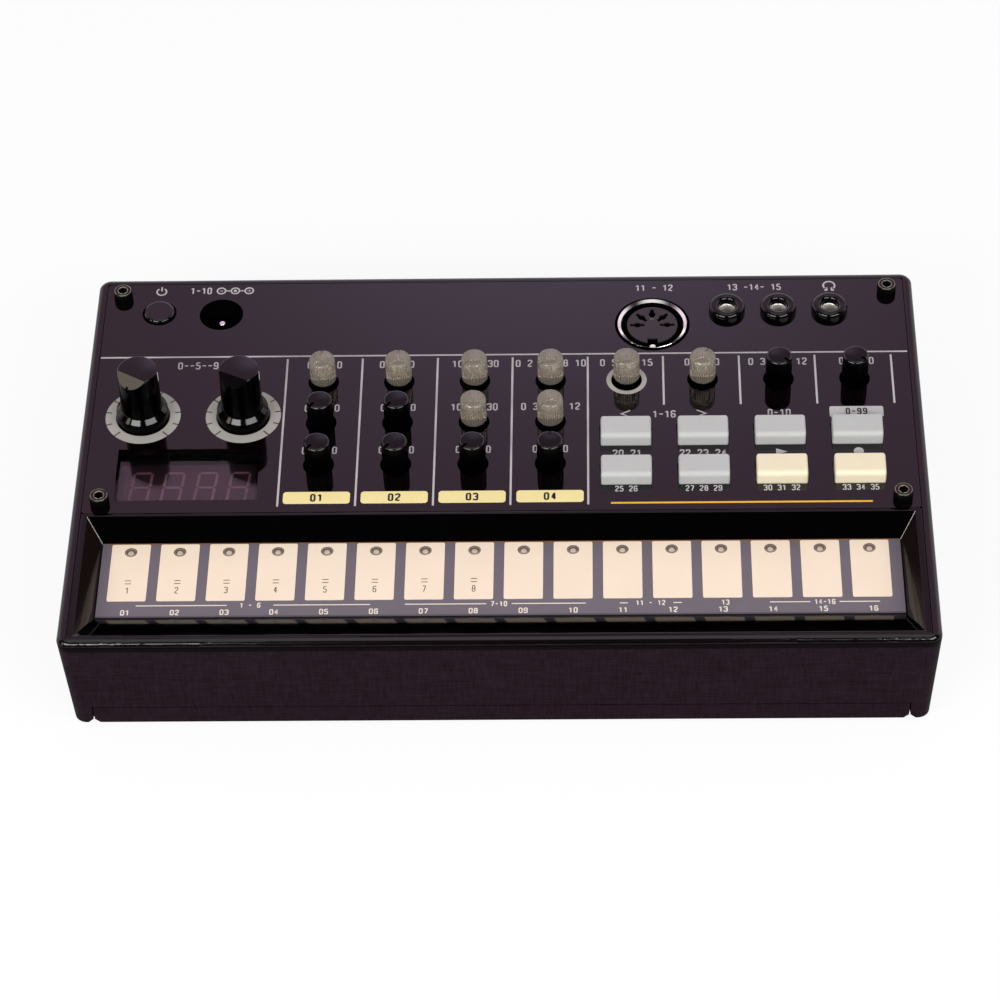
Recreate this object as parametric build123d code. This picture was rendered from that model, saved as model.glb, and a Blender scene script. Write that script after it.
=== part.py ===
from build123d import *
import math
import os

# Desktop drum machine: a shallow moulded case with a gloss control panel, a sunk strip of touch
# pads, two large dials, sixteen slim spindles, nine push buttons and sockets in the panel.
# Millimetres. X runs to the player's right, Y to the back, Z up.
# The origin is the middle of the footprint, on the surface that the feet stand on.

# Case
case_width = 193.0
case_depth = 115.0
body_height = 28.0          # underside of the floor to the top of the rim
foot_height = 2.7           # how far the feet hold the floor up
corner_radius = 2.8         # rim corners, seen from above
rim_radius = 1.6            # rounding of the rim's outer edge
side_draft = 1.3            # how far each side leans in from rim to floor
wall = 2.0
rim_width = 2.4             # rim to panel, at the sides and the back
front_rim_width = 1.9       # rim to pad frame, at the front
floor_thickness = 2.0
band_height = 5.2           # lower shell showing at the front and the back
leg_width = 6.0             # corner legs of the upper shell beside that band
band_gap = 0.3
leg_notch = 1.9             # side of the square notch under each leg joint
ledge_width = 3.3           # ledge that carries the panel
frame_ledge_width = 0.75    # narrower ledge beside the pad frame
ledge_thickness = 2.5

# Fits
seat_gap = 0.15             # panel and frame in the rim
shell_gap = 0.3             # lower shell inside the upper shell
slide_gap = 0.25            # button caps in the panel
turn_gap = 0.05             # turning shafts in their bushes
inlay_gap = 0.1             # touch strip in its frame
screw_gap = 0.2

# Control panel
panel_thickness = 2.0
panel_corner_radius = 0.8
panel_front_y = -18.7
panel_bar_width = 2.4       # cross bar under the panel's front edge

# Pad frame and touch strip
frame_land = 1.35           # flat land at each side of the recess
frame_back_land = 0.75
frame_front_land = 0.6
frame_wall = 1.7
frame_side_growth = 0.6
recess_depth = 6.2          # rim plane to the top of the touch strip
strip_width = 178.8
strip_depth = 21.6
strip_back_y = -22.35
strip_thickness = 0.5
pad_count = 16
pad_pitch = 11.02
pad_width = 8.7
pad_length = 16.85
pad_thickness = 0.12
pad_radius = 0.4
pad_back_y = -22.75
pad_middle_x = -0.25
light_hole_radius = 1.4
light_radius = 1.2
light_inset = 2.3           # light centre from the pad's back edge
light_sink = 0.25           # light below the pad's face

# Boards
board_thickness = 1.6
display_drop = 5.0          # display face below the panel's top
display_height = 7.0
display_width = 30.1
display_depth = 14.0
display_x = -71.0
display_y = -6.6
key_board_margin = 1.3
control_board_side_gap = 5.1   # board's edges to the panel's edges above it
control_board_back_gap = 3.1
control_board_front_gap = 4.2
boss_radius = 2.4
board_screw_radius = 1.0
board_screw_head_radius = 1.9
board_screw_head_height = 1.2
board_screw_length = 6.0
front_boss_places = [(-50.1, -8.0), (-15.1, 15.6), (37.2, 15.6), (72.4, 15.6)]
back_boss_insets = [(-70.9, 26.1), (2.3, 15.1)]   # x, and distance from the panel's back edge

# Display window
window_width = 32.3
window_depth = 15.9
window_x = -71.1
window_y = -6.9
lens_thickness = 1.2
lens_overlap = 0.8

# Dials
dial_places = {"left": (-82.5, 11.5), "right": (-59.4, 11.5)}
dial_skirt_radius = 5.9
dial_skirt_height = 2.7
dial_flare_top = 3.7
dial_waist_radius = 4.75
dial_top_radius = 4.5
dial_height = 15.3
dial_edge_radius = 0.4
dial_float = 0.3            # skirt above the panel
dial_facet_angle = 243.0    # direction that the slanted facet faces
dial_facet_inset = 1.65     # facet's top edge from the axis
dial_facet_slope = 33.0
dial_groove_width = 0.6
dial_groove_depth = 0.35
dial_groove_top = 13.6
dial_groove_bottom = 11.8
dial_bore_depth = 9.0
dial_shaft_radius = 3.0
dial_hole_radius = 3.6
dial_pot_width = 11.0
pot_body_height = 6.8
pot_bush_depth = 4.6

# Spindles, one moulded piece each: knurled head, slim stem, radial pointer groove
column_pitch = 17.52
first_column_x = -41.38
first_row_drop = 18.3       # first row in front of the round socket's middle
last_row_y = -4.2
spindle_angles = {
    (1, 1): 92.0, (1, 2): 223.0, (1, 3): 223.0,
    (2, 1): 88.0, (2, 2): 223.0, (2, 3): 222.0,
    (3, 1): 221.0, (3, 2): 222.0, (3, 3): 223.0,
    (4, 1): 226.0, (4, 2): 224.0, (4, 3): 90.0,
    (5, 1): 224.0, (6, 1): 60.0, (7, 1): -42.0, (8, 1): -38.0,
}
spindle_radius = 3.0
spindle_height = 7.85       # top above the panel
spindle_head_bottom = 1.2
spindle_edge = 0.5
spindle_hole_radius = 3.55
stem_radius = 2.45
knurl_count = 32
knurl_depth = 0.16
groove_width = 0.75
groove_depth = 0.9
groove_start = 0.7          # groove's inner end from the axis
pot_width = 9.5
pot_depth = 10.0

# Buttons
button_width = 11.5
button_depth = 6.1
button_height = 3.1         # top above the panel
button_shift_x = -0.33      # caps stand slightly left of their columns
button_rows = {"a": 4.4, "b": -7.75}
button_first_column = 5
button_edge_radius = 0.6
button_front_radius = 1.1
flange_lip = 0.75           # retaining flange beyond the cap
flange_thickness = 0.9
flange_gap = 0.3            # flange below the panel
plunger_radius = 1.2
plunger_engagement = 0.6
button_travel = 0.8
switch_width = 6.0
switch_height = 3.5
switch_bore_depth = 2.4
power_x = -81.3
power_inset = 9.7           # this and the sockets from the panel's back edge
power_hole_radius = 4.05
power_cap_radius = 3.6
power_height = 0.9
power_edge_radius = 0.7
power_flange_radius = 4.7

# Panel screws, cap heads with a hexagon socket
panel_screw_side_inset = 3.9
panel_screw_back_inset = 4.3
panel_screw_front_inset = 3.4
screw_head_radius = 2.2
screw_head_height = 2.5
screw_head_edge = 0.3
screw_socket_radius = 1.15
screw_socket_depth = 1.3
screw_shank_radius = 1.25
screw_length = 10.0
post_radius = 2.7

# Case screws under the floor
case_screw_side_inset = 10.6
case_screw_back_inset = 10.2
case_screw_front_inset = 7.1
case_screw_middle_gap = 6.5  # behind the panel's front edge
case_screw_head_radius = 2.3
case_screw_head_height = 1.3
case_screw_radius = 1.1
case_screw_length = 9.0
case_screw_recess = 1.5
case_post_radius = 3.2
case_post_height = 10.5

# Feet
foot_radius = 4.5
foot_side_inset = 9.9
foot_back_inset = 23.5
foot_front_inset = 22.0
foot_recess = 0.5
foot_edge_radius = 0.5

# Five-pole round socket
din_x = 34.9
din_inset = 14.7
din_shell_radius = 8.1
din_shell_wall = 0.75
din_hole_radius = 8.8
din_shell_proud = 0.3
din_shell_length = 7.6
din_insert_radius = 5.9
din_insert_sink = 0.2
din_base_thickness = 1.0
din_pole_circle = 3.5
din_pole_radius = 0.85
din_slot_length = 3.4
din_slot_width = 0.9
din_slot_depth = 3.0
din_contact_height = 1.5
din_contact_radius = 0.5
din_key_width = 2.4
din_key_depth = 1.4
din_tab_radius = 0.85
din_housing_width = 19.0

# Power inlet
dc_x = -66.6
dc_inset = 10.3
dc_hole_radius = 5.15
dc_well_depth = 9.0
dc_pin_radius = 0.85
dc_pin_drop = 2.6
dc_housing_width = 14.0

# 3.5 mm jacks
jack_first_x = 52.5
jack_inset = 10.25
jack_pitch = 12.0
jack_count = 3
jack_bore_radius = 1.8
jack_collar_radius = 4.25
jack_collar_height = 2.1
jack_collar_face_radius = 3.35
jack_neck_radius = 3.7
jack_hole_radius = 3.85
jack_sleeve_wall = 0.5
jack_sleeve_drop = 1.5
jack_sleeve_length = 7.0
jack_body_width = 9.0
jack_body_depth = 12.0

# Battery bay: two rows of three cells
cell_diameter = 14.5
cell_length = 50.5
cell_rows = 2
cells_in_row = 3
cell_gap = 0.75
contact_room = 4.25         # springs and plates at each end of a row
bay_front_gap = 4.05        # bay's front wall behind the case's front
bay_wall = 1.3
bay_roof = 1.1
contact_width = 10.5
contact_thickness = 0.5
spring_radius = 3.6
spring_step = 0.55
spring_wire = 0.42
spring_turns = 4
door_thickness = 1.8
door_gap = 0.3
door_edge_clearance = 0.1
door_tab_width = 8.0
door_tab_thickness = 1.2
door_tab_reach = 3.4
door_tab_spread = 100.0
door_grip_width = 12.0
door_grip_count = 5
door_grip_pitch = 1.4
door_grip_height = 0.3
door_grip_spread = 90.0

# Speaker
speaker_x = 45.0
speaker_y = 17.0
speaker_radius = 18.0
speaker_flange = 1.0
basket_radius = 14.0
basket_top_radius = 9.0
basket_height = 5.0
magnet_radius = 8.5
magnet_height = 3.0
cone_radius = 14.5
cone_thickness = 0.4
cone_drop = 2.2
cone_dome_radius = 4.0
speaker_ring_wall = 1.2
speaker_ring_height = 2.4
grille_slots = 7
grille_pitch = 3.8
grille_slot_width = 1.8
grille_radius = 13.0

# Levels and places that follow from the sizes above
floor_z = foot_height
floor_top_z = floor_z + floor_thickness
top_z = floor_z + body_height
seat_z = top_z - panel_thickness
ledge_z = seat_z - ledge_thickness
board_top_z = top_z - display_drop - display_height
board_z = board_top_z - board_thickness
pot_top_z = board_top_z + pot_body_height
strip_top_z = top_z - recess_depth
frame_floor_top_z = strip_top_z - strip_thickness
frame_floor_z = frame_floor_top_z - frame_wall
key_board_z = frame_floor_z - board_thickness
panel_half_width = case_width / 2 - rim_width
panel_back_y = case_depth / 2 - rim_width
panel_screw_x = panel_half_width - panel_screw_side_inset
panel_screw_ys = [panel_back_y - panel_screw_back_inset, panel_front_y + panel_screw_front_inset]
case_screw_x = case_width / 2 - case_screw_side_inset
case_screw_ys = [case_depth / 2 - case_screw_back_inset, panel_front_y + case_screw_middle_gap,
                 case_screw_front_inset - case_depth / 2]
foot_x = case_width / 2 - foot_side_inset
foot_ys = [case_depth / 2 - foot_back_inset, foot_front_inset - case_depth / 2]
control_board_half_width = panel_half_width - control_board_side_gap
control_board_back_y = panel_back_y - control_board_back_gap
control_board_front_y = panel_front_y + control_board_front_gap
boss_places = front_boss_places + [(x, panel_back_y - inset) for x, inset in back_boss_insets]
power_y = panel_back_y - power_inset
din_y = panel_back_y - din_inset
dc_y = panel_back_y - dc_inset
jack_y = panel_back_y - jack_inset
first_row_y = din_y - first_row_drop
row_places = {1: first_row_y, 2: (first_row_y + last_row_y) / 2, 3: last_row_y}
frame_back_y = panel_front_y - seat_gap
frame_front_y = -case_depth / 2 + front_rim_width
recess_half_width = panel_half_width - frame_land
recess_back_y = frame_back_y - frame_back_land
recess_front_y = frame_front_y + frame_front_land
band_half_width = case_width / 2 - leg_width
inner_half_width = case_width / 2 - side_draft - wall
inner_half_depth = case_depth / 2 - side_draft - wall
strip_middle_y = strip_back_y - strip_depth / 2
pad_xs = [pad_middle_x + (i - (pad_count - 1) / 2) * pad_pitch for i in range(pad_count)]
light_y = pad_back_y - light_inset
bay_length = cells_in_row * cell_length + 2 * contact_room
bay_depth = cell_rows * cell_diameter + 2 * cell_gap
bay_middle_y = bay_front_gap + bay_wall + bay_depth / 2 - case_depth / 2
bay_top_z = floor_z + door_thickness + cell_diameter + 2 * door_edge_clearance
door_half_length = bay_length / 2 - door_gap
door_front_y = bay_middle_y - bay_depth / 2 + door_gap
door_back_y = bay_middle_y + bay_depth / 2 - door_gap
door_round = door_thickness + door_edge_clearance
door_axis_y = door_back_y - door_round
door_axis_z = floor_z + door_round
jack_xs = [jack_first_x + i * jack_pitch for i in range(jack_count)]
switch_top_z = board_top_z + switch_height
flange_top_z = seat_z - flange_gap


def column_x(column):
    return first_column_x + (column - 1) * column_pitch


def block(x0, x1, y0, y1, z0, z1):
    """Box between two corners."""
    return Pos((x0 + x1) / 2, (y0 + y1) / 2, (z0 + z1) / 2) * Box(x1 - x0, y1 - y0, z1 - z0)


def rod(radius, x, y, z0, z1):
    """Upright cylinder between two levels."""
    return Pos(x, y, (z0 + z1) / 2) * Cylinder(radius, z1 - z0)


def square_block(width, depth, x, y, z0, z1):
    """Box on a centre, between two levels."""
    return block(x - width / 2, x + width / 2, y - depth / 2, y + depth / 2, z0, z1)


def turned(points):
    """Solid of revolution about Z from (radius, height) points."""
    return revolve(Plane.XZ * make_face(Polyline(*points, close=True)), Axis.Z)


def frustum(width0, depth0, y0, z0, width1, depth1, y1, z1):
    """Block with flat sloping sides between two rectangles."""
    low = Pos(0, y0, z0) * Rectangle(width0, depth0)
    high = Pos(0, y1, z1) * Rectangle(width1, depth1)
    return loft([low, high], ruled=True)


def group(solids):
    """Separate solids in one node."""
    return Compound(children=list(solids))


def case_body(inset, z0, z1):
    """Drafted body of the case, moved in by inset on every side, between two levels."""
    sections = []
    for z in (z0, z1):
        lean = side_draft * (top_z - z) / body_height + inset
        radius = max(corner_radius - inset, wall / 4)
        outline = RectangleRounded(case_width - 2 * lean, case_depth - 2 * lean, radius)
        sections.append(Pos(0, 0, z) * outline)
    return loft(sections, ruled=True)


def leg_notches():
    """Square bars on edge that notch the joints beside the corner legs, front and back."""
    bars = []
    for side in (-1, 1):
        for end in (-1, 1):
            place = Pos(side * (band_half_width + band_gap / 2), end * case_depth / 2, floor_z)
            bars.append(place * Rot(0, 45, 0) * Box(leg_notch, 3 * wall, leg_notch))
    return bars


def button_columns():
    return [(name, i) for name in button_rows for i in range(4)]


def button_x(index):
    return column_x(button_first_column + index) + button_shift_x


# Case shells

def upper_case():
    shell = case_body(0, floor_z, top_z)
    shell = fillet(shell.faces().sort_by(Axis.Z)[-1].edges(), rim_radius)
    shell -= case_body(wall, floor_z - wall, ledge_z)
    # pocket that the panel and the pad frame drop into
    shell -= block(
        -panel_half_width - seat_gap, panel_half_width + seat_gap,
        frame_front_y - seat_gap, panel_back_y + seat_gap, seat_z, top_z + wall)
    # openings under them, with a bar left between the two
    shell -= block(
        -panel_half_width + ledge_width, panel_half_width - ledge_width,
        panel_front_y + panel_bar_width, panel_back_y - ledge_width, ledge_z - wall, seat_z)
    shell -= block(
        -panel_half_width + frame_ledge_width, panel_half_width - frame_ledge_width,
        frame_front_y + frame_ledge_width, frame_back_y, ledge_z - wall, seat_z)
    # room for the lower shell's band at the front and the back
    reach = band_half_width + band_gap
    for side in (-1, 1):
        near, far = sorted((side * (inner_half_depth - wall), side * (case_depth / 2 + wall)))
        shell -= block(-reach, reach, near, far, floor_z - wall, floor_z + band_height + band_gap)
    for bar in leg_notches():
        shell -= bar
    # posts for the panel screws and, beside them, for the case screws
    inside = case_body(wall / 2, floor_z, seat_z)
    for side in (-1, 1):
        for y in panel_screw_ys:
            shell += rod(post_radius, side * panel_screw_x, y, floor_top_z, seat_z) & inside
        for y in case_screw_ys:
            post = rod(case_post_radius, side * case_screw_x, y, floor_top_z, floor_top_z + case_post_height)
            web = block(
                min(side * case_screw_x, side * (inner_half_width + wall / 2)),
                max(side * case_screw_x, side * (inner_half_width + wall / 2)),
                y - wall / 2, y + wall / 2, floor_top_z, floor_top_z + case_post_height)
            shell += post & inside
            shell += web & inside
    for side in (-1, 1):
        for y in panel_screw_ys:
            shell -= rod(screw_shank_radius + turn_gap, side * panel_screw_x, y,
                         top_z - screw_length - wall / 2, top_z)
        for y in case_screw_ys:
            shell -= rod(case_screw_radius + turn_gap, side * case_screw_x, y,
                         floor_z, floor_z + case_screw_recess + case_screw_length + wall / 2)
    return shell


def lower_case():
    band = case_body(0, floor_z, top_z)
    band &= block(
        -band_half_width, band_half_width, -case_depth, case_depth, floor_z, floor_z + band_height)
    band -= block(
        -case_width, case_width, -inner_half_depth, inner_half_depth, floor_top_z, top_z)
    side = inner_half_width - shell_gap
    ends = inner_half_depth - shell_gap
    shell = band + block(-side, side, -ends, ends, floor_z, floor_top_z)
    for bar in leg_notches():
        shell -= bar
    # battery bay, open downwards
    half_length = bay_length / 2
    half_depth = bay_depth / 2
    shell += block(
        -half_length - bay_wall, half_length + bay_wall,
        bay_middle_y - half_depth - bay_wall, bay_middle_y + half_depth + bay_wall,
        floor_z, bay_top_z + bay_roof)
    shell -= block(
        -half_length, half_length, bay_middle_y - half_depth, bay_middle_y + half_depth,
        floor_z - wall, bay_top_z)
    # windows in the bay's back wall that the door's tabs hook into
    for side in (-1, 1):
        shell -= square_block(
            door_tab_width + 2 * door_gap, 4 * bay_wall,
            side * door_tab_spread / 2, bay_middle_y + half_depth + 2 * bay_wall,
            door_axis_z, door_axis_z + door_round + door_tab_reach)
    # recesses for the feet and the case screws
    for side in (-1, 1):
        for y in foot_ys:
            shell -= rod(foot_radius + turn_gap, side * foot_x, y, floor_z, floor_z + foot_recess)
        for y in case_screw_ys:
            shell -= rod(case_screw_head_radius + screw_gap, side * case_screw_x, y,
                         floor_z - wall, floor_z + case_screw_recess)
            shell -= rod(case_screw_radius + screw_gap, side * case_screw_x, y, floor_z, floor_top_z)
    # speaker seat and grille
    ring = rod(speaker_radius + shell_gap + speaker_ring_wall, speaker_x, speaker_y,
               floor_z, floor_top_z + speaker_ring_height)
    ring -= rod(speaker_radius + shell_gap, speaker_x, speaker_y,
                floor_top_z, floor_top_z + speaker_ring_height)
    shell += ring
    for i in range(grille_slots):
        offset = (i - (grille_slots - 1) / 2) * grille_pitch
        length = 2 * math.sqrt(grille_radius ** 2 - offset ** 2)
        slot = Pos(speaker_x, speaker_y + offset, floor_z - wall / 2) * SlotOverall(length, grille_slot_width)
        shell -= extrude(slot, amount=floor_thickness + wall)
    return shell


def battery_door():
    plate = block(-door_half_length, door_half_length, door_front_y, door_axis_y,
                  floor_z, floor_z + door_thickness)
    # the back edge is rolled about the axis that the door turns on
    roll = Pos(0, door_axis_y, door_axis_z) * Rot(0, 90, 0) * Cylinder(door_round, 2 * door_half_length)
    roll &= block(-case_width, case_width, door_axis_y - door_gap, door_back_y,
                  floor_z, floor_z + door_thickness)
    door = plate + roll
    for side in (-1, 1):
        x = side * door_tab_spread / 2
        foot = square_block(door_tab_width, door_round, x, door_axis_y + door_round / 2 - door_gap,
                            floor_z + door_thickness / 2, door_axis_z + door_tab_thickness)
        tab = block(x - door_tab_width / 2, x + door_tab_width / 2,
                    door_axis_y - door_gap, door_axis_y + door_round + door_tab_reach - bay_wall,
                    door_axis_z + door_edge_clearance, door_axis_z + door_tab_thickness)
        door += foot
        door += tab
        # finger grip: low ridges near the front edge
        for i in range(door_grip_count):
            y = door_front_y + (i + 1) * door_grip_pitch
            door += square_block(door_grip_width, door_grip_pitch / 2, side * door_grip_spread / 2, y,
                                 floor_z - door_grip_height, floor_z + door_thickness / 2)
    return door


def feet():
    pads = []
    for side in (-1, 1):
        for y in foot_ys:
            pad = rod(foot_radius, side * foot_x, y, 0, floor_z + foot_recess)
            pads.append(chamfer(pad.faces().sort_by(Axis.Z)[0].edges(), foot_edge_radius))
    return group(pads)


# Control panel and display

def top_panel():
    width = 2 * panel_half_width
    depth = panel_back_y - panel_front_y
    sheet = Pos(0, (panel_back_y + panel_front_y) / 2, seat_z) * RectangleRounded(
        width, depth, panel_corner_radius)
    panel = extrude(sheet, amount=panel_thickness)
    for x, y in boss_places:
        panel += rod(boss_radius, x, y, board_top_z, seat_z)
        panel -= rod(board_screw_radius, x, y, board_top_z, board_top_z + board_screw_length)
    holes = [(dial_hole_radius, x, y) for x, y in dial_places.values()]
    holes += [(spindle_hole_radius, column_x(c), row_places[r]) for c, r in spindle_angles]
    holes += [(power_hole_radius, power_x, power_y), (dc_hole_radius, dc_x, dc_y)]
    holes += [(din_hole_radius, din_x, din_y)]
    holes += [(jack_hole_radius, x, jack_y) for x in jack_xs]
    holes += [(screw_shank_radius + screw_gap, side * panel_screw_x, y)
              for side in (-1, 1) for y in panel_screw_ys]
    for radius, x, y in holes:
        panel -= rod(radius, x, y, seat_z, top_z)
    for row, index in button_columns():
        panel -= square_block(
            button_width + 2 * slide_gap, button_depth + 2 * slide_gap,
            button_x(index), button_rows[row], seat_z, top_z)
    panel -= square_block(window_width, window_depth, window_x, window_y, seat_z, top_z)
    return panel


def display_lens():
    lens = square_block(
        window_width + 2 * lens_overlap, window_depth + 2 * lens_overlap,
        window_x, window_y, seat_z - lens_thickness, seat_z)
    # corner cleared for the screw post beside it
    return lens - rod(post_radius + seat_gap, -panel_screw_x, panel_screw_ys[-1], ledge_z, seat_z)


def display_module():
    return square_block(
        display_width, display_depth, display_x, display_y, board_top_z, top_z - display_drop)


def control_board():
    board = block(-control_board_half_width, control_board_half_width,
                  control_board_front_y, control_board_back_y, board_z, board_top_z)
    for side in (-1, 1):
        for y in panel_screw_ys:
            board -= square_block(
                2 * (post_radius + shell_gap), 2 * (post_radius + shell_gap),
                side * panel_screw_x, y, board_z, board_top_z)
    for x, y in boss_places:
        board -= rod(board_screw_radius + screw_gap, x, y, board_z, board_top_z)
    return board


def board_screws():
    screws = []
    for x, y in boss_places:
        screw = rod(board_screw_head_radius, x, y, board_z - board_screw_head_height, board_z)
        screw += rod(board_screw_radius - turn_gap, x, y, board_z, board_top_z + board_screw_length - wall / 4)
        screws.append(screw)
    return group(screws)


def cap_screw(x, y):
    """Cap-head screw standing on the panel."""
    head = rod(screw_head_radius, x, y, top_z, top_z + screw_head_height)
    head = chamfer(head.faces().sort_by(Axis.Z)[-1].edges(), screw_head_edge)
    socket = Pos(x, y, top_z + screw_head_height - screw_socket_depth) * RegularPolygon(screw_socket_radius, 6)
    head -= extrude(socket, amount=screw_socket_depth)
    return head + rod(screw_shank_radius, x, y, top_z - screw_length, top_z)


def panel_screws():
    return group(cap_screw(side * panel_screw_x, y) for side in (-1, 1) for y in panel_screw_ys)


def case_screws():
    screws = []
    for side in (-1, 1):
        for y in case_screw_ys:
            x = side * case_screw_x
            head_top = floor_z + case_screw_recess
            screw = rod(case_screw_head_radius, x, y, head_top - case_screw_head_height, head_top)
            screw -= square_block(2 * case_screw_radius, case_screw_radius / 2, x, y,
                                  floor_z, head_top - case_screw_head_height / 2)
            screw -= square_block(case_screw_radius / 2, 2 * case_screw_radius, x, y,
                                  floor_z, head_top - case_screw_head_height / 2)
            screws.append(screw + rod(case_screw_radius, x, y, head_top, head_top + case_screw_length))
    return group(screws)


# Pad frame and touch strip

def recess_shape(growth_side, growth_back, growth_front, drop):
    """Sunk well with sloping sides, grown outwards and moved down."""
    top_width = 2 * (recess_half_width + growth_side)
    top_back = recess_back_y + growth_back
    top_front = recess_front_y - growth_front
    low_width = strip_width + 2 * (inlay_gap + growth_side)
    low_back = strip_back_y + inlay_gap + growth_back
    low_front = strip_back_y - strip_depth - inlay_gap - growth_front
    return frustum(
        low_width, low_back - low_front, (low_back + low_front) / 2, frame_floor_top_z - drop,
        top_width, top_back - top_front, (top_back + top_front) / 2, top_z - drop)


def pad_frame():
    flange = block(-panel_half_width, panel_half_width, frame_front_y, frame_back_y, seat_z, top_z)
    footprint = block(-panel_half_width, panel_half_width, frame_front_y, frame_back_y, 0, top_z)
    tray = recess_shape(frame_side_growth, 2 * frame_back_land, 0, frame_wall) & footprint
    frame = flange + tray
    frame -= recess_shape(0, 0, 0, 0)
    for x in pad_xs:
        frame -= rod(light_hole_radius, x, light_y, frame_floor_z, frame_floor_top_z)
    return frame


def touch_strip():
    sheet = block(-strip_width / 2, strip_width / 2, strip_back_y - strip_depth, strip_back_y,
                  frame_floor_top_z, strip_top_z)
    for x in pad_xs:
        sheet -= rod(light_hole_radius, x, light_y, frame_floor_top_z, strip_top_z)
    return sheet


def touch_pads():
    pads = []
    for x in pad_xs:
        face = Pos(x, pad_back_y - pad_length / 2, strip_top_z) * RectangleRounded(
            pad_width, pad_length, pad_radius)
        pads.append(extrude(face, amount=pad_thickness)
                    - rod(light_hole_radius, x, light_y, strip_top_z, strip_top_z + pad_thickness))
    return group(pads)


def step_lights():
    """Round-nosed lamps under the pads' windows."""
    top = strip_top_z + pad_thickness - light_sink
    lights = []
    for x in pad_xs:
        light = rod(light_radius, x, light_y, frame_floor_z, top)
        lights.append(fillet(light.faces().sort_by(Axis.Z)[-1].edges(), light_radius - turn_gap))
    return group(lights)


def key_board():
    half_width = strip_width / 2 - key_board_margin
    return block(-half_width, half_width,
                 strip_back_y - strip_depth + key_board_margin, strip_back_y - key_board_margin,
                 key_board_z, frame_floor_z)


# Dials and spindles

def dial_knob(x, y):
    profile = [
        (0, dial_float), (dial_skirt_radius, dial_float), (dial_skirt_radius, dial_skirt_height),
        (dial_waist_radius, dial_flare_top), (dial_top_radius, dial_height), (0, dial_height),
    ]
    knob = turned(profile)
    knob = fillet(knob.faces().sort_by(Axis.Z)[-1].edges(), dial_edge_radius)
    # slanted facet across one side of the top
    cutter = Pos(dial_facet_inset, 0, dial_height) * Rot(0, dial_facet_slope, 0) * Pos(
        dial_height / 2, 0, dial_height / 2) * Box(dial_height, 2 * dial_height, dial_height)
    groove = block(
        dial_top_radius - dial_groove_depth, dial_skirt_radius, -dial_groove_width / 2,
        dial_groove_width / 2, dial_groove_bottom, dial_groove_top)
    turn = Rot(0, 0, dial_facet_angle)
    knob -= turn * cutter
    knob -= turn * groove
    knob -= rod(dial_shaft_radius + turn_gap, 0, 0, dial_float, dial_bore_depth)
    return Pos(x, y, top_z) * knob


def dial_shaft(x, y):
    shaft = rod(dial_shaft_radius, x, y, pot_top_z - pot_bush_depth, top_z + dial_bore_depth - dial_float)
    return chamfer(shaft.faces().sort_by(Axis.Z)[-1].edges(), dial_float)


def pot(width, depth, shaft_radius, x, y):
    """Potentiometer body with the bush that its shaft turns in."""
    body = square_block(width, depth, x, y, board_top_z, pot_top_z)
    return body - rod(shaft_radius + turn_gap, x, y, pot_top_z - pot_bush_depth - turn_gap, pot_top_z)


def dial_pots():
    return group(pot(dial_pot_width, dial_pot_width, dial_shaft_radius, x, y)
                 for x, y in dial_places.values())


def spindle_pots():
    return group(pot(pot_width, pot_depth, stem_radius, column_x(c), row_places[r])
                 for c, r in spindle_angles)


def knurled_head():
    """Ribbed head with a bevelled top edge, pointer groove towards +X, panel top at z = 0."""
    points = []
    for i in range(2 * knurl_count):
        radius = spindle_radius - (i % 2) * knurl_depth
        angle = math.pi * i / knurl_count
        points.append((radius * math.cos(angle), radius * math.sin(angle)))
    prism = extrude(Pos(0, 0, spindle_head_bottom) * make_face(Polyline(*points, close=True)),
                    amount=spindle_height - spindle_head_bottom)
    cap = rod(spindle_radius, 0, 0, spindle_head_bottom, spindle_height)
    cap = chamfer(cap.faces().sort_by(Axis.Z)[-1].edges(), spindle_edge, spindle_edge)
    head = prism & cap
    return head - block(groove_start, 2 * spindle_radius, -groove_width / 2, groove_width / 2,
                        spindle_height - groove_depth, spindle_height + groove_depth)


def spindles():
    """Every slim spindle by column and row, each turned to where its pointer rests."""
    stem = rod(stem_radius, 0, 0, pot_top_z - pot_bush_depth - top_z, spindle_head_bottom)
    piece = knurled_head() + stem
    return {
        f"spindle_c{c}_r{r}": Pos(column_x(c), row_places[r], top_z) * Rot(0, 0, angle) * piece
        for (c, r), angle in spindle_angles.items()
    }


# Buttons

def push_button(x, y):
    """Cap with a retaining flange and the plunger that works its switch."""
    side_view = Plane.YZ * Pos(0, (flange_top_z - flange_thickness / 2 + top_z + button_height) / 2) * Rectangle(
        button_depth, top_z + button_height - flange_top_z + flange_thickness / 2)
    cap = extrude(side_view, amount=button_width / 2, both=True)
    top_edges = cap.faces().sort_by(Axis.Z)[-1].edges()
    cap = fillet(top_edges.sort_by(Axis.Y)[0], button_front_radius)
    ends = cap.faces().sort_by(Axis.X)
    rounded = [edge for end in (ends[0], ends[-1]) for edge in end.edges()
               if edge.center().Z > flange_top_z]
    cap = fillet(rounded, button_edge_radius)
    flange = square_block(
        button_width + 2 * flange_lip, button_depth + 2 * flange_lip, 0, 0,
        flange_top_z - flange_thickness, flange_top_z)
    plunger = rod(plunger_radius, 0, 0, switch_top_z - plunger_engagement, flange_top_z - flange_thickness / 2)
    return Pos(x, y, 0) * (cap + flange + plunger)


def power_button():
    cap = rod(power_cap_radius, power_x, power_y, flange_top_z - flange_thickness / 2, top_z + power_height)
    cap = fillet(cap.faces().sort_by(Axis.Z)[-1].edges(), power_edge_radius)
    cap += rod(power_flange_radius, power_x, power_y, flange_top_z - flange_thickness, flange_top_z)
    return cap + rod(plunger_radius, power_x, power_y,
                     switch_top_z - plunger_engagement, flange_top_z - flange_thickness / 2)


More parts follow.
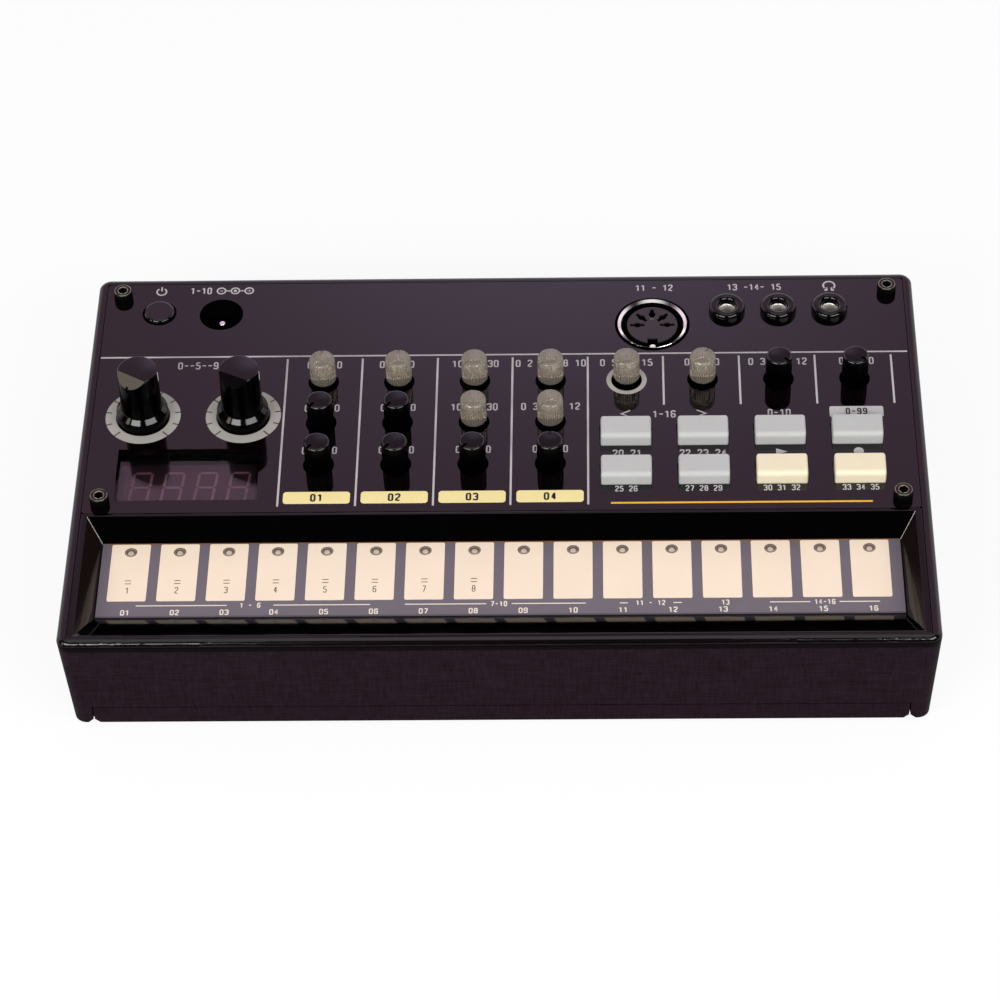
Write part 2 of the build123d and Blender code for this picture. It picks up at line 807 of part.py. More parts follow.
def push_switches():
    places = [(button_x(index), button_rows[row]) for row, index in button_columns()]
    places.append((power_x, power_y))
    switches = []
    for x, y in places:
        body = square_block(switch_width, switch_width, x, y, board_top_z, switch_top_z)
        switches.append(body - rod(plunger_radius + turn_gap, x, y,
                                   switch_top_z - switch_bore_depth, switch_top_z))
    return group(switches)


# Sockets

def din_shell():
    low = top_z + din_shell_proud - din_shell_length
    shell = rod(din_shell_radius, din_x, din_y, low, top_z + din_shell_proud)
    shell -= rod(din_shell_radius - din_shell_wall, din_x, din_y, low, top_z + din_shell_proud)
    tab_y = din_y - din_shell_radius + din_shell_wall
    tab = rod(din_tab_radius, din_x, tab_y, low + din_base_thickness, top_z)
    tab &= rod(din_shell_radius - din_shell_wall / 2, din_x, din_y, low, top_z)
    return shell + tab


def din_insert():
    low = top_z + din_shell_proud - din_shell_length
    insert = rod(din_insert_radius, din_x, din_y, low, top_z - din_insert_sink)
    insert += rod(din_shell_radius - din_shell_wall - turn_gap, din_x, din_y, low, low + din_base_thickness)
    slot_top = top_z - din_insert_sink
    for angle in din_angles():
        place = Pos(din_x, din_y, 0) * Rot(0, 0, angle)
        insert -= place * rod(din_pole_radius, din_pole_circle, 0, slot_top - din_slot_depth, slot_top)
        insert -= place * block(
            din_pole_circle - din_slot_length / 2, din_pole_circle + din_slot_length / 2,
            -din_slot_width / 2, din_slot_width / 2, slot_top - din_slot_depth, slot_top)
    key_y = din_y - din_insert_radius
    insert -= block(
        din_x - din_key_width / 2, din_x + din_key_width / 2, key_y - din_key_depth, key_y + din_key_depth,
        low + din_base_thickness, top_z)
    insert -= block(
        din_x - din_key_width / 2, din_x + din_key_width / 2, key_y - 2 * din_key_depth, key_y,
        low, low + din_base_thickness)
    return insert


def din_angles():
    return [0, 45, 90, 135, 180]


def din_contacts():
    low = top_z - din_insert_sink - din_slot_depth
    return group(
        Pos(din_x, din_y, 0) * Rot(0, 0, angle) * rod(
            din_contact_radius, din_pole_circle, 0, low, low + din_contact_height)
        for angle in din_angles())


def din_housing():
    high = top_z + din_shell_proud - din_shell_length
    return square_block(din_housing_width, din_housing_width, din_x, din_y, board_top_z, high)


def dc_inlet():
    body = square_block(dc_housing_width, dc_housing_width, dc_x, dc_y, board_top_z, seat_z - seat_gap)
    return body - rod(dc_hole_radius, dc_x, dc_y, top_z - dc_well_depth, seat_z)


def dc_pin():
    pin = rod(dc_pin_radius, dc_x, dc_y, top_z - dc_well_depth, top_z - dc_pin_drop)
    return fillet(pin.faces().sort_by(Axis.Z)[-1].edges(), dc_pin_radius / 2)


def jack_collars():
    collars = []
    sleeve_radius = jack_bore_radius + jack_sleeve_wall + turn_gap
    sleeve_top = jack_collar_height - jack_sleeve_drop
    for x in jack_xs:
        face_ring = (jack_collar_face_radius, jack_collar_height)
        shoulder = (jack_collar_radius, jack_collar_height * 0.55)
        profile = [
            (jack_bore_radius, jack_collar_height), face_ring, shoulder, (jack_collar_radius, 0),
            (jack_neck_radius, 0), (jack_neck_radius, -panel_thickness),
            (sleeve_radius, -panel_thickness), (sleeve_radius, sleeve_top), (jack_bore_radius, sleeve_top),
        ]
        collars.append(Pos(x, jack_y, top_z) * turned(profile))
    return group(collars)


def jack_sleeves():
    high = top_z + jack_collar_height - jack_sleeve_drop
    low = high - jack_sleeve_length
    return group(
        rod(jack_bore_radius + jack_sleeve_wall, x, jack_y, low, high)
        - rod(jack_bore_radius, x, jack_y, low, high)
        for x in jack_xs)


def jack_sockets():
    bodies = []
    low = top_z + jack_collar_height - jack_sleeve_drop - jack_sleeve_length
    for x in jack_xs:
        body = square_block(jack_body_width, jack_body_depth, x, jack_y, board_top_z, seat_z)
        body -= rod(jack_bore_radius + jack_sleeve_wall + turn_gap, x, jack_y, low, seat_z)
        body -= rod(jack_bore_radius, x, jack_y, board_top_z + wall, low)
        bodies.append(body)
    return group(bodies)


# Battery contacts and speaker

def battery_contacts():
    """At each end of each row: a plate on the wall, one end with a coil of touching rings."""
    pieces = []
    middle_z = floor_z + door_thickness + door_edge_clearance + cell_diameter / 2
    for end in (-1, 1):
        for row in range(cell_rows):
            y = bay_middle_y + (row - (cell_rows - 1) / 2) * (cell_diameter + cell_gap)
            wall_x = end * bay_length / 2
            face_x = wall_x - end * contact_thickness
            plate = block(min(wall_x, face_x), max(wall_x, face_x), y - contact_width / 2,
                          y + contact_width / 2, middle_z - contact_width / 2, middle_z + contact_width / 2)
            spring_here = (end < 0) == (row == 0)
            for turn in range(spring_turns if spring_here else 1):
                radius = spring_radius - turn * spring_step / 2
                x = face_x - end * (turn * 1.5 * spring_wire + spring_wire / 2)
                ring = Pos(x, y, middle_z) * Rot(0, 90, 0) * Torus(radius, spring_wire)
                plate += ring
            pieces.append(plate)
    return group(pieces)


def speaker_frame():
    """Pressed basket with its flange and magnet, cone side down."""
    z = floor_top_z
    profile = [
        (speaker_radius, z), (speaker_radius, z + speaker_flange),
        (basket_radius + speaker_flange, z + speaker_flange),
        (basket_top_radius + speaker_flange, z + basket_height), (magnet_radius, z + basket_height),
        (magnet_radius, z + basket_height + magnet_height), (0, z + basket_height + magnet_height),
        (0, z + basket_height - speaker_flange), (basket_top_radius, z + basket_height - speaker_flange),
        (cone_radius, z + speaker_flange / 2 + cone_thickness), (cone_radius, z),
    ]
    return Pos(speaker_x, speaker_y, 0) * turned(profile)


def speaker_cone():
    z = floor_top_z + speaker_flange / 2
    inner = cone_dome_radius
    profile = [
        (cone_radius, z), (cone_radius, z + cone_thickness), (inner, z + cone_drop + cone_thickness),
        (0, z + cone_drop + cone_thickness), (0, z + cone_drop), (inner, z + cone_drop),
    ]
    return Pos(speaker_x, speaker_y, 0) * turned(profile)


def nodes():
    """Every piece by node name."""
    pieces = {
        "upper_case": upper_case(),
        "lower_case": lower_case(),
        "battery_door": battery_door(),
        "rubber_feet": feet(),
        "top_panel": top_panel(),
        "display_lens": display_lens(),
        "display_module": display_module(),
        "control_board": control_board(),
        "board_screws": board_screws(),
        "panel_screws": panel_screws(),
        "case_screws": case_screws(),
        "pad_frame": pad_frame(),
        "touch_strip": touch_strip(),
        "touch_pads": touch_pads(),
        "step_lights": step_lights(),
        "key_board": key_board(),
        "dial_pots": dial_pots(),
        "spindle_pots": spindle_pots(),
        "power_button": power_button(),
        "push_switches": push_switches(),
        "din_shell": din_shell(),
        "din_insert": din_insert(),
        "din_contacts": din_contacts(),
        "din_housing": din_housing(),
        "dc_inlet": dc_inlet(),
        "dc_pin": dc_pin(),
        "jack_collars": jack_collars(),
        "jack_sleeves": jack_sleeves(),
        "jack_sockets": jack_sockets(),
        "battery_contacts": battery_contacts(),
        "speaker_frame": speaker_frame(),
        "speaker_cone": speaker_cone(),
    }
    for side, (x, y) in dial_places.items():
        pieces[f"dial_knob_{side}"] = dial_knob(x, y)
        pieces[f"dial_shaft_{side}"] = dial_shaft(x, y)
    pieces.update(spindles())
    for row, index in button_columns():
        pieces[f"button_{row}{index + 1}"] = push_button(button_x(index), button_rows[row])
    return pieces


os.makedirs("parts", exist_ok=True)
for name, piece in nodes().items():
    export_step(piece, f"parts/{name}.step")
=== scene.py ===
import bmesh
import bpy
from math import cos, pi, radians, sin
from mathutils import Matrix, Vector


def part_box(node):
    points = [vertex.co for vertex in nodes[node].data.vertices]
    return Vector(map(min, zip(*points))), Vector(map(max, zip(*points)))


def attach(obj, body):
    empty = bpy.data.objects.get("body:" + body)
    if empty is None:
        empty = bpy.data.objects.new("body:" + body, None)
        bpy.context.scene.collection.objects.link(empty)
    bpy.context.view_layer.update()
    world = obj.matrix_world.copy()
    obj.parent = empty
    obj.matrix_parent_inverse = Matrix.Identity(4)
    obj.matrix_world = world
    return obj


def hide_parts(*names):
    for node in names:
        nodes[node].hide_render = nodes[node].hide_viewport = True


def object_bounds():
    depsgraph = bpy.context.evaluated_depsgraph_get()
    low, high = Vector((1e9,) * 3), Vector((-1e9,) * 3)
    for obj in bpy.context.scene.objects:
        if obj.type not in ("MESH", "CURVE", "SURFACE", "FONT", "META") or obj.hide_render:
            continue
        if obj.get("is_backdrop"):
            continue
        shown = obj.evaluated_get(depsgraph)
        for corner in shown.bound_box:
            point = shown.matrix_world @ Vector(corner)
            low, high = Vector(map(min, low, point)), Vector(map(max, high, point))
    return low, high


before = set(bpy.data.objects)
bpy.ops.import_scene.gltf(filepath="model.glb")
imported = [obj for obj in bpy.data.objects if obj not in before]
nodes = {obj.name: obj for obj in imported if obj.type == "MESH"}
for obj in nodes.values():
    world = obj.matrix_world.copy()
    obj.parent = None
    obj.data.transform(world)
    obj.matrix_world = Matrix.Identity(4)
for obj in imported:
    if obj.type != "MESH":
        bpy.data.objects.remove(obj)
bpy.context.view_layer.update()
mm = 0.001
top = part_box("top_panel")[1].z / mm      # height of the panel's face
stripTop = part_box("touch_strip")[1].z / mm
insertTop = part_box("din_insert")[1].z / mm
print("frame loaded,", len(nodes), "nodes")


# surfaces

def addNode(tree, kind, **values):
    node = tree.nodes.new(kind)
    for key, value in values.items():
        setattr(node, key, value)
    return node


def feed(tree, socket, value):
    # links an output, or sets any other value
    if hasattr(value, "is_output"):
        tree.links.new(value, socket)
    else:
        socket.default_value = value


def maths(tree, operation, first, second=0.0):
    node = addNode(tree, "ShaderNodeMath", operation=operation)
    feed(tree, node.inputs[0], first)
    feed(tree, node.inputs[1], second)
    return node.outputs["Value"]


def mixNode(tree, factor, first, second, kind="RGBA"):
    # first where the factor is 0, second where it is 1
    node = addNode(tree, "ShaderNodeMix", data_type=kind)
    tree.links.new(factor, node.inputs["Factor"])
    for key, value in (("A", first), ("B", second)):
        feed(tree, node.inputs[key], (*value, 1) if isinstance(value, tuple) else value)
    return node.outputs["Result"]


def mapRange(tree, source, low, high, fromLow=0.3, fromHigh=0.7):
    node = addNode(tree, "ShaderNodeMapRange")
    for socket, value in zip(node.inputs, (source, fromLow, fromHigh, low, high)):
        feed(tree, socket, value)
    return node.outputs["Result"]


def noiseNode(tree, coords, scale, detail, stretch=None):
    noise = addNode(tree, "ShaderNodeTexNoise")
    noise.inputs["Scale"].default_value = scale
    noise.inputs["Detail"].default_value = detail
    source = coords.outputs["Object"]
    if stretch:
        mapping = addNode(tree, "ShaderNodeMapping")
        mapping.inputs["Scale"].default_value = stretch
        tree.links.new(source, mapping.inputs["Vector"])
        source = mapping.outputs["Vector"]
    tree.links.new(source, noise.inputs["Vector"])
    return noise.outputs["Fac"]


def shade(colour, amount):
    return tuple(max(0.0, min(1.0, c * amount)) for c in colour)


def edgeMask(tree, width):
    # 1 on worn outer edges, 0 on flat stretches
    bevel = addNode(tree, "ShaderNodeBevel", samples=4)
    bevel.inputs["Radius"].default_value = width
    geometry = addNode(tree, "ShaderNodeNewGeometry")
    dot = addNode(tree, "ShaderNodeVectorMath", operation="DOT_PRODUCT")
    tree.links.new(bevel.outputs["Normal"], dot.inputs[0])
    tree.links.new(geometry.outputs["Normal"], dot.inputs[1])
    return mapRange(tree, dot.outputs["Value"], 1.0, 0.0, 0.86, 0.995)


# every finish's defaults, lengths in millimetres
plainLook = dict(mottle=0.06, mottleScale=160, sheen=0.15, sheenScale=90, rimBlend=0.15, metal=0.0, ior=1.5,
                 threads=((0.09, 0.5, 1.0), (1.0, 0.5, 0.09)), threadShades=(0.62, 1.32), wearScale=1200,
                 wearWidth=0.25, clear=0.0, coat=0.0, coatRough=0.03, specular=0.5, soft=0.0,
                 softRadius=(1.2, 0.9, 0.6))


def newMaterial(name):
    material = bpy.data.materials.new(name)
    material.use_nodes = True
    tree = material.node_tree
    return material, tree, tree.nodes["Principled BSDF"]


def surface(name, look):
    # mottled colour, fine grain in the bump, uneven gloss, optional weave, wear and rim
    material, tree, shader = newMaterial(name)
    coords = addNode(tree, "ShaderNodeTexCoord")
    colour, vary = look["colour"], look["mottle"]
    blotch = mapRange(tree, noiseNode(tree, coords, look["mottleScale"], 4), 0.0, 1.0)
    result = mixNode(tree, blotch, shade(colour, 1 - vary), shade(colour, 1 + vary))
    rough = mapRange(tree, noiseNode(tree, coords, look["sheenScale"], 5), look["rough"] * (1 - look["sheen"]),
                     look["rough"] * (1 + look["sheen"]))
    height = noiseNode(tree, coords, 1 / (look["grainSize"] * mm), 3)
    specular = look["specular"]
    if "weave" in look:
        # crossed threads: one noise drawn out along the width, one along the height
        height = maths(tree, "ADD", *(noiseNode(tree, coords, look["weave"], 2, s) for s in look["threads"]))
        dark, light = look["threadShades"]
        thread = mapRange(tree, height, 0.0, 1.0, 0.78, 1.22)
        result = mixNode(tree, thread, shade(colour, dark), shade(colour, light))
    if "wear" in look:
        patch = mapRange(tree, noiseNode(tree, coords, look["wearScale"], 4), 0.0, 1.0, 0.42, 0.62)
        worn = maths(tree, "MULTIPLY", edgeMask(tree, look["wearWidth"] * mm), patch)
        result = mixNode(tree, worn, result, look["wear"])
    if "rimHeight" in look:
        # another colour above the first height, smooth and glossy above the second
        split = addNode(tree, "ShaderNodeSeparateXYZ")
        tree.links.new(coords.outputs["Object"], split.inputs["Vector"])
        rim, gloss = (mapRange(tree, split.outputs["Z"], 0.0, 1.0, (z - look["rimBlend"]) * mm,
                               (z + look["rimBlend"]) * mm) for z in (look["rimHeight"], look["glossHeight"]))
        result = mixNode(tree, rim, result, look["rimColour"])
        rough = mixNode(tree, gloss, rough, look["rimRough"], "FLOAT")
        height = mixNode(tree, gloss, height, 0.5, "FLOAT")
        specular = mapRange(tree, gloss, look["specular"], look["rimSpecular"], 0.0, 1.0)
    bump = addNode(tree, "ShaderNodeBump")
    bump.inputs["Distance"].default_value = look["grainHeight"] * mm
    tree.links.new(height, bump.inputs["Height"])
    for key, value in (("Base Color", result), ("Roughness", rough), ("Normal", bump.outputs["Normal"]),
                       ("Specular IOR Level", specular), ("Metallic", look["metal"]), ("IOR", look["ior"]),
                       ("Transmission Weight", look["clear"]), ("Coat Weight", look["coat"]),
                       ("Coat Roughness", look["coatRough"])):
        feed(tree, shader.inputs[key], value)
    if look["soft"]:
        shader.inputs["Subsurface Weight"].default_value = look["soft"]
        shader.inputs["Subsurface Radius"].default_value = [r * mm for r in look["softRadius"]]
        shader.inputs["Subsurface Scale"].default_value = 1.0
    return material


def cover(colour, rough, grainSize=0.2, grainHeight=0.004, **more):
    # the grain is the bump's fine texture; anything not given is as in plainLook
    return {**plainLook, "colour": colour, "rough": rough, "grainSize": grainSize, "grainHeight": grainHeight, **more}


def ink(colour, rough=0.5, mottle=0.05, **more):
    return cover(colour, rough, 0.08, 0.001, mottle=mottle, **more)


finishes = {
    "caseShell": cover((0.0125, 0.0054, 0.0096), 0.5, mottle=0.12, mottleScale=60, sheen=0.12, weave=2200,
                       grainHeight=0.03, specular=0.03, rimHeight=27.9, glossHeight=29.6, rimRough=0.12,
                       rimSpecular=0.44, rimColour=(0.002, 0.0008, 0.0012)),
    "panelGloss": cover((0.0014, 0.0005, 0.0008), 0.04, 1.5, 0.0006, mottle=0.08, mottleScale=40, sheen=0.25),
    # painted sheen: a lighter brown copy of the tray finish for its side slopes
    "framePaintedSheen": cover((0.009, 0.0054, 0.005), 0.1, 1.5, 0.0006, mottle=0.1, specular=0.3),
    "frameGloss": cover((0.0004, 0.0003, 0.0003), 0.06, 1.5, 0.0006, mottle=0.1, specular=0.3),
    "dialBlack": cover((0.0008, 0.0005, 0.0006), 0.1, 0.3, 0.0006, sheen=0.25, specular=0.36),
    # painted shade: a darker, barely reflective copy of dialBlack for the dial sides
    "dialSidePaintedShade": cover((0.0004, 0.0003, 0.0003), 0.16, 0.3, 0.0008, sheen=0.25, specular=0.04),
    "spindleBlack": cover((0.001, 0.0007, 0.0008), 0.08, 0.2, 0.0008, sheen=0.3, specular=0.24),
    # painted glint: a more reflective copy of spindleBlack for the rounded top edge
    "spindleEdgePaintedGlint": cover((0.001, 0.0007, 0.0008), 0.2, 0.2, 0.0008, sheen=0.3),
    # painted shade: a darker, barely reflective copy for spindle sides and stems
    "spindleSidePaintedShade": cover((0.0005, 0.0004, 0.0004), 0.3, 0.2, 0.0008, sheen=0.25, specular=0.05),
    "spindleClear": cover((0.77, 0.68, 0.55), 0.05, 0.4, 0.0005, mottle=0.02, mottleScale=300, clear=0.78, ior=1.49),
    # painted shade: a darker colour for the grooves between the clear ribs
    "spindleGroovePaintedShade": cover((0.31, 0.265, 0.21), 0.25, 0.4, 0.0005, mottle=0.05, mottleScale=300, clear=0.5, ior=1.49),
    "footRubber": cover((0.016, 0.016, 0.017), 0.72, 0.15, 0.02, mottle=0.2),
    "touchStrip": cover((0.15, 0.132, 0.155), 0.34, 0.12, 0.0015, mottle=0.03),
    "padCream": cover((0.98, 0.8, 0.635), 0.38, 0.1, 0.0015, mottle=0.02, mottleScale=90),
    "buttonGrey": cover((0.53, 0.53, 0.52), 0.36, 0.08, 0.003, mottle=0.02, mottleScale=120, soft=0.15,
                        wear=(0.62, 0.62, 0.61)),
    "buttonLit": cover((0.9, 0.79, 0.58), 0.34, 0.08, 0.003, mottle=0.02, mottleScale=120, soft=0.25,
                       wear=(0.96, 0.9, 0.76)),
    "powerBlack": cover((0.0014, 0.0009, 0.0012), 0.09, 0.5, 0.0006),
    "lensSmoke": cover((0.74, 0.66, 0.7), 0.025, 2.0, 0.0003, mottle=0.02, clear=1.0),
    "displayFace": cover((0.03, 0.014, 0.019), 0.4, 0.3, 0.002, mottle=0.06),
    "segmentGrey": cover((0.3, 0.19, 0.19), 0.5, 0.2, 0.001, mottle=0.05),
    "lampFrost": cover((0.27, 0.22, 0.18), 0.22, 0.15, 0.004, mottle=0.12, mottleScale=900, soft=0.2),
    "lampLens": cover((0.62, 0.5, 0.4), 0.12, 0.15, 0.002, mottle=0.1, mottleScale=900, coat=0.5),
    "screwBlack": cover((0.03, 0.031, 0.024), 0.24, 0.08, 0.004, mottle=0.25, mottleScale=700, sheen=0.35,
                        metal=1.0),
    # painted glint: bright metal for the screw heads' socket chamfer and top edge
    "screwPaintedGlint": cover((0.24, 0.24, 0.18), 0.2, 0.08, 0.004, mottle=0.3, mottleScale=900, sheen=0.35, metal=1.0),
    "steelPlain": cover((0.52, 0.52, 0.53), 0.32, 0.1, 0.003, mottle=0.08, sheen=0.3, metal=1.0),
    "chrome": cover((0.86, 0.84, 0.82), 0.12, 0.3, 0.001, mottle=0.04, sheen=0.4, metal=1.0),
    "brass": cover((0.42, 0.34, 0.22), 0.3, 0.1, 0.002, mottle=0.1, metal=1.0),
    # grey face on top; everything more than 0.3 mm below the face is near-black and barely reflective, painted shade
    # in the key slots
    "socketGreyPaintedSlotShade": cover((0.001, 0.0008, 0.0009), 0.45, 0.1, 0.004, mottle=0.05, specular=0.02,
                        rimHeight=insertTop - 0.3, glossHeight=insertTop - 0.3, rimRough=0.45, rimSpecular=0.2,
                        rimColour=(0.044, 0.034, 0.041)),
    "socketBlack": cover((0.0012, 0.0009, 0.001), 0.1, 0.3, 0.0006, sheen=0.25, specular=0.36),
    "satinNickel": cover((0.86, 0.82, 0.78), 0.4, 0.2, 0.001, mottle=0.04, sheen=0.3, metal=0.35),
    # painted shade: near-black and barely reflective, for the power inlet's well and the screws' sides and sockets
    "wellPaintedShadeBlack": cover((0.0012, 0.001, 0.0011), 0.4, 0.15, 0.004, specular=0.08),
    "innerBlack": cover((0.01, 0.01, 0.011), 0.5, 0.15, 0.006),
    "boardGreen": cover((0.018, 0.11, 0.045), 0.36, 0.4, 0.006, mottle=0.15, mottleScale=400),
    "coneBlack": cover((0.022, 0.021, 0.02), 0.85, 0.1, 0.03, mottle=0.25, mottleScale=900),
    # painted highlight: pale colour for the tray's back corner seams
    "paintedSeamHighlight": cover((0.42, 0.4, 0.38), 0.35, 0.2, 0.001, mottle=0.1),
    "printGrey": ink((0.52, 0.49, 0.5)),
    "printCream": ink((0.88, 0.76, 0.66), mottle=0.04),
    "printBrown": ink((0.115, 0.075, 0.06), mottle=0.06),
    "printRust": ink((0.24, 0.105, 0.042), 0.45, 0.08),
    "printAmber": ink((0.9, 0.47, 0.03), 0.45),
    "printYellow": ink((0.93, 0.78, 0.36), 0.45, 0.03),
    "printPale": ink((0.52, 0.5, 0.5), mottle=0.03),
    "printDark": ink((0.012, 0.01, 0.01)),
    "ringGrey": ink((0.405, 0.385, 0.35), mottle=0.04, mottleScale=250),
    "indexWhite": ink((0.8, 0.8, 0.78), 0.4, 0.03),
}
surfaces = {name: surface(name, look) for name, look in finishes.items()}

clearSpindles = ["c1_r1", "c2_r1", "c3_r1", "c4_r1", "c5_r1", "c6_r1", "c3_r2", "c4_r2"]
# the solids in each finish; any other button is grey, any other spindle black
finishNodes = {
    "caseShell": ["upper_case", "lower_case", "battery_door"], "footRubber": ["rubber_feet"],
    "panelGloss": ["top_panel"], "frameGloss": ["pad_frame"], "touchStrip": ["touch_strip"],
    "padCream": ["touch_pads"], "lampFrost": ["step_lights"], "lensSmoke": ["display_lens"],
    "displayFace": ["display_module"], "boardGreen": ["control_board", "key_board"],
    "screwBlack": ["panel_screws", "case_screws"], "dialBlack": ["dial_knob_left", "dial_knob_right"],
    "steelPlain": ["board_screws", "dial_pots", "dial_shaft_left", "dial_shaft_right", "battery_contacts"],
    "spindleClear": ["spindle_" + name for name in clearSpindles], "buttonLit": ["button_b3", "button_b4"],
    "powerBlack": ["power_button"], "chrome": ["din_shell", "dc_pin", "jack_sleeves"], "brass": ["din_contacts"],
    "innerBlack": ["spindle_pots", "push_switches", "din_housing", "jack_sockets", "speaker_frame"],
    # the power inlet's well is painted near-black, painted shade
    "socketGreyPaintedSlotShade": ["din_insert"], "socketBlack": ["jack_collars"], "wellPaintedShadeBlack": ["dc_inlet"],
    "coneBlack": ["speaker_cone"],
}
finishOf = {name: "buttonGrey" if name.startswith("button_") else "spindleBlack" for name in nodes}
for finish, names in finishNodes.items():
    finishOf.update(dict.fromkeys(names, finish))
for name, node in nodes.items():
    node.data.materials.clear()
    node.data.materials.append(surfaces[finishOf[name]])
print("finishes made,", len(surfaces))


# mesh helpers, sizes in millimetres

def ring(radius, z, count=96, x=0.0, y=0.0):
    return [(x + radius * cos(2 * pi * i / count), y + radius * sin(2 * pi * i / count), z) for i in range(count)]


def shapedRing(z, count, radiusAt):
    angles = [2 * pi * i / count for i in range(count)]
    return [(radiusAt(a) * cos(a), radiusAt(a) * sin(a), z) for a in angles]


def ribbed(radius, z, depth, ribs, count):
    return shapedRing(z, count, lambda a: radius - depth * (0.5 - 0.5 * cos(ribs * a)))


def turned(profile, count, ribs=0):
    # one loop for each radius and height, ribbed where a depth follows them
    return [ribbed(*step, ribs, count) if len(step) > 2 else ring(*step, count) for step in profile]


def roundEdge(radius, height, edge, steps=5):
    # radius and height pairs of a quarter round, from the side up to the top
    angles = [radians(90 * i / steps) for i in range(steps + 1)]
    return [(radius - edge + edge * cos(a), height - edge + edge * sin(a)) for a in angles]


def addSkin(mesh, rows):
    # faces between each row of corners and the next
    for low, high in zip(rows, rows[1:]):
        for i in range(len(low)):
            j = (i + 1) % len(low)
            mesh.faces.new((low[i], low[j], high[j], high[i]))


def addLoops(mesh, loops, matrix=None):
    # skin over a stack of loops, capped at both ends
    rows = [[mesh.verts.new(Vector(p)) for p in loop] for loop in loops]
    addSkin(mesh, rows)
    mesh.faces.new(list(reversed(rows[0])))
    mesh.faces.new(rows[-1])
    if matrix:
        bmesh.ops.transform(mesh, matrix=matrix, verts=[v for row in rows for v in row])


def addTube(mesh, profile, x, y, z, count=64):
    # closed turned profile with a hole in its middle
    rows = [[mesh.verts.new(p) for p in ring(radius, z + rise, count, x, y)] for radius, rise in profile]
    addSkin(mesh, rows + rows[:1])


def addBar(mesh, x0, x1, y0, y1, z0, z1):
    addLoops(mesh, [[(x0, y0, z), (x1, y0, z), (x1, y1, z), (x0, y1, z)] for z in (z0, z1)])


def addShape(mesh, points, z0, z1):
    addLoops(mesh, [[(x, y, z) for x, y in points] for z in (z0, z1)])


def addStrip(mesh, rows, closed=False):
    # four long edges skinned into a square bar, capped unless its ends meet
    count = len(rows[0])
    for i in range(count if closed else count - 1):
        j = (i + 1) % count
        for low, high in zip(rows, rows[1:] + rows[:1]):
            mesh.faces.new((low[i], low[j], high[j], high[i]))
    if not closed:
        mesh.faces.new([row[0] for row in rows])
        mesh.faces.new([row[-1] for row in reversed(rows)])


def addArc(mesh, x, y, inner, outer, start, end, z0, z1, steps=48):
    angles = [radians(start + (end - start) * i / steps) for i in range(steps + 1)]
    outline = [(x + outer * cos(a), y + outer * sin(a)) for a in angles]
    inside = [(x + inner * cos(a), y + inner * sin(a)) for a in angles]
    addStrip(mesh, [[mesh.verts.new((px, py, z)) for px, py in line]
                    for line, z in ((outline, z0), (outline, z1), (inside, z1), (inside, z0))])


def roundedOutline(width, depth, radius, x, y, steps=6):
    points = []
    for cornerX, cornerY, start in ((1, 1, 0), (-1, 1, 90), (-1, -1, 180), (1, -1, 270)):
        for i in range(steps + 1):
            a = radians(start + 90 * i / steps)
            points.append((x + cornerX * (width / 2 - radius) + radius * cos(a),
                           y + cornerY * (depth / 2 - radius) + radius * sin(a)))
    return points


def addObject(name, data):
    item = bpy.data.objects.new(name, data)
    bpy.context.scene.collection.objects.link(item)
    return item


def meshObject(name, mesh):
    data = bpy.data.meshes.new(name)
    mesh.to_mesh(data)
    mesh.free()
    return addObject(name, data)


def makePiece(name, mesh, finish, body="case", replaces=(), sharp=30, bevel=0.0):
    bmesh.ops.recalc_face_normals(mesh, faces=mesh.faces)
    if bevel:
        edges = [e for e in mesh.edges if len(e.link_faces) == 2 and e.calc_face_angle(0) > radians(20)]
        bmesh.ops.bevel(mesh, geom=edges, offset=bevel, segments=3, profile=0.5, affect="EDGES", clamp_overlap=True)
    bmesh.ops.scale(mesh, vec=(mm, mm, mm), verts=mesh.verts)
    piece = meshObject(name, mesh)
    data = piece.data
    data.polygons.foreach_set("use_smooth", [True] * len(data.polygons))
    data.set_sharp_from_angle(angle=radians(sharp))
    data.materials.append(surfaces[finish])
    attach(piece, body)
    if replaces:
        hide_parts(*replaces)
    return piece


def paintFaces(piece, finish, chosen):
    # a second finish for the faces that chosen picks
    piece.data.materials.append(surfaces[finish])
    for face in piece.data.polygons:
        if chosen(face):
            face.material_index = len(piece.data.materials) - 1


def cutAway(piece, cutter):
    # takes the cutter's shape out of the piece and leaves a plain mesh
    modifier = piece.modifiers.new("cut", "BOOLEAN")
    modifier.operation = "DIFFERENCE"
    modifier.solver = "EXACT"
    modifier.object = cutter
    bpy.context.view_layer.update()
    graph = bpy.context.evaluated_depsgraph_get()
    result = bpy.data.meshes.new_from_object(piece.evaluated_get(graph))
    piece.modifiers.clear()
    old = piece.data
    piece.data = result
    bpy.data.meshes.remove(old)
    bpy.data.objects.remove(cutter)


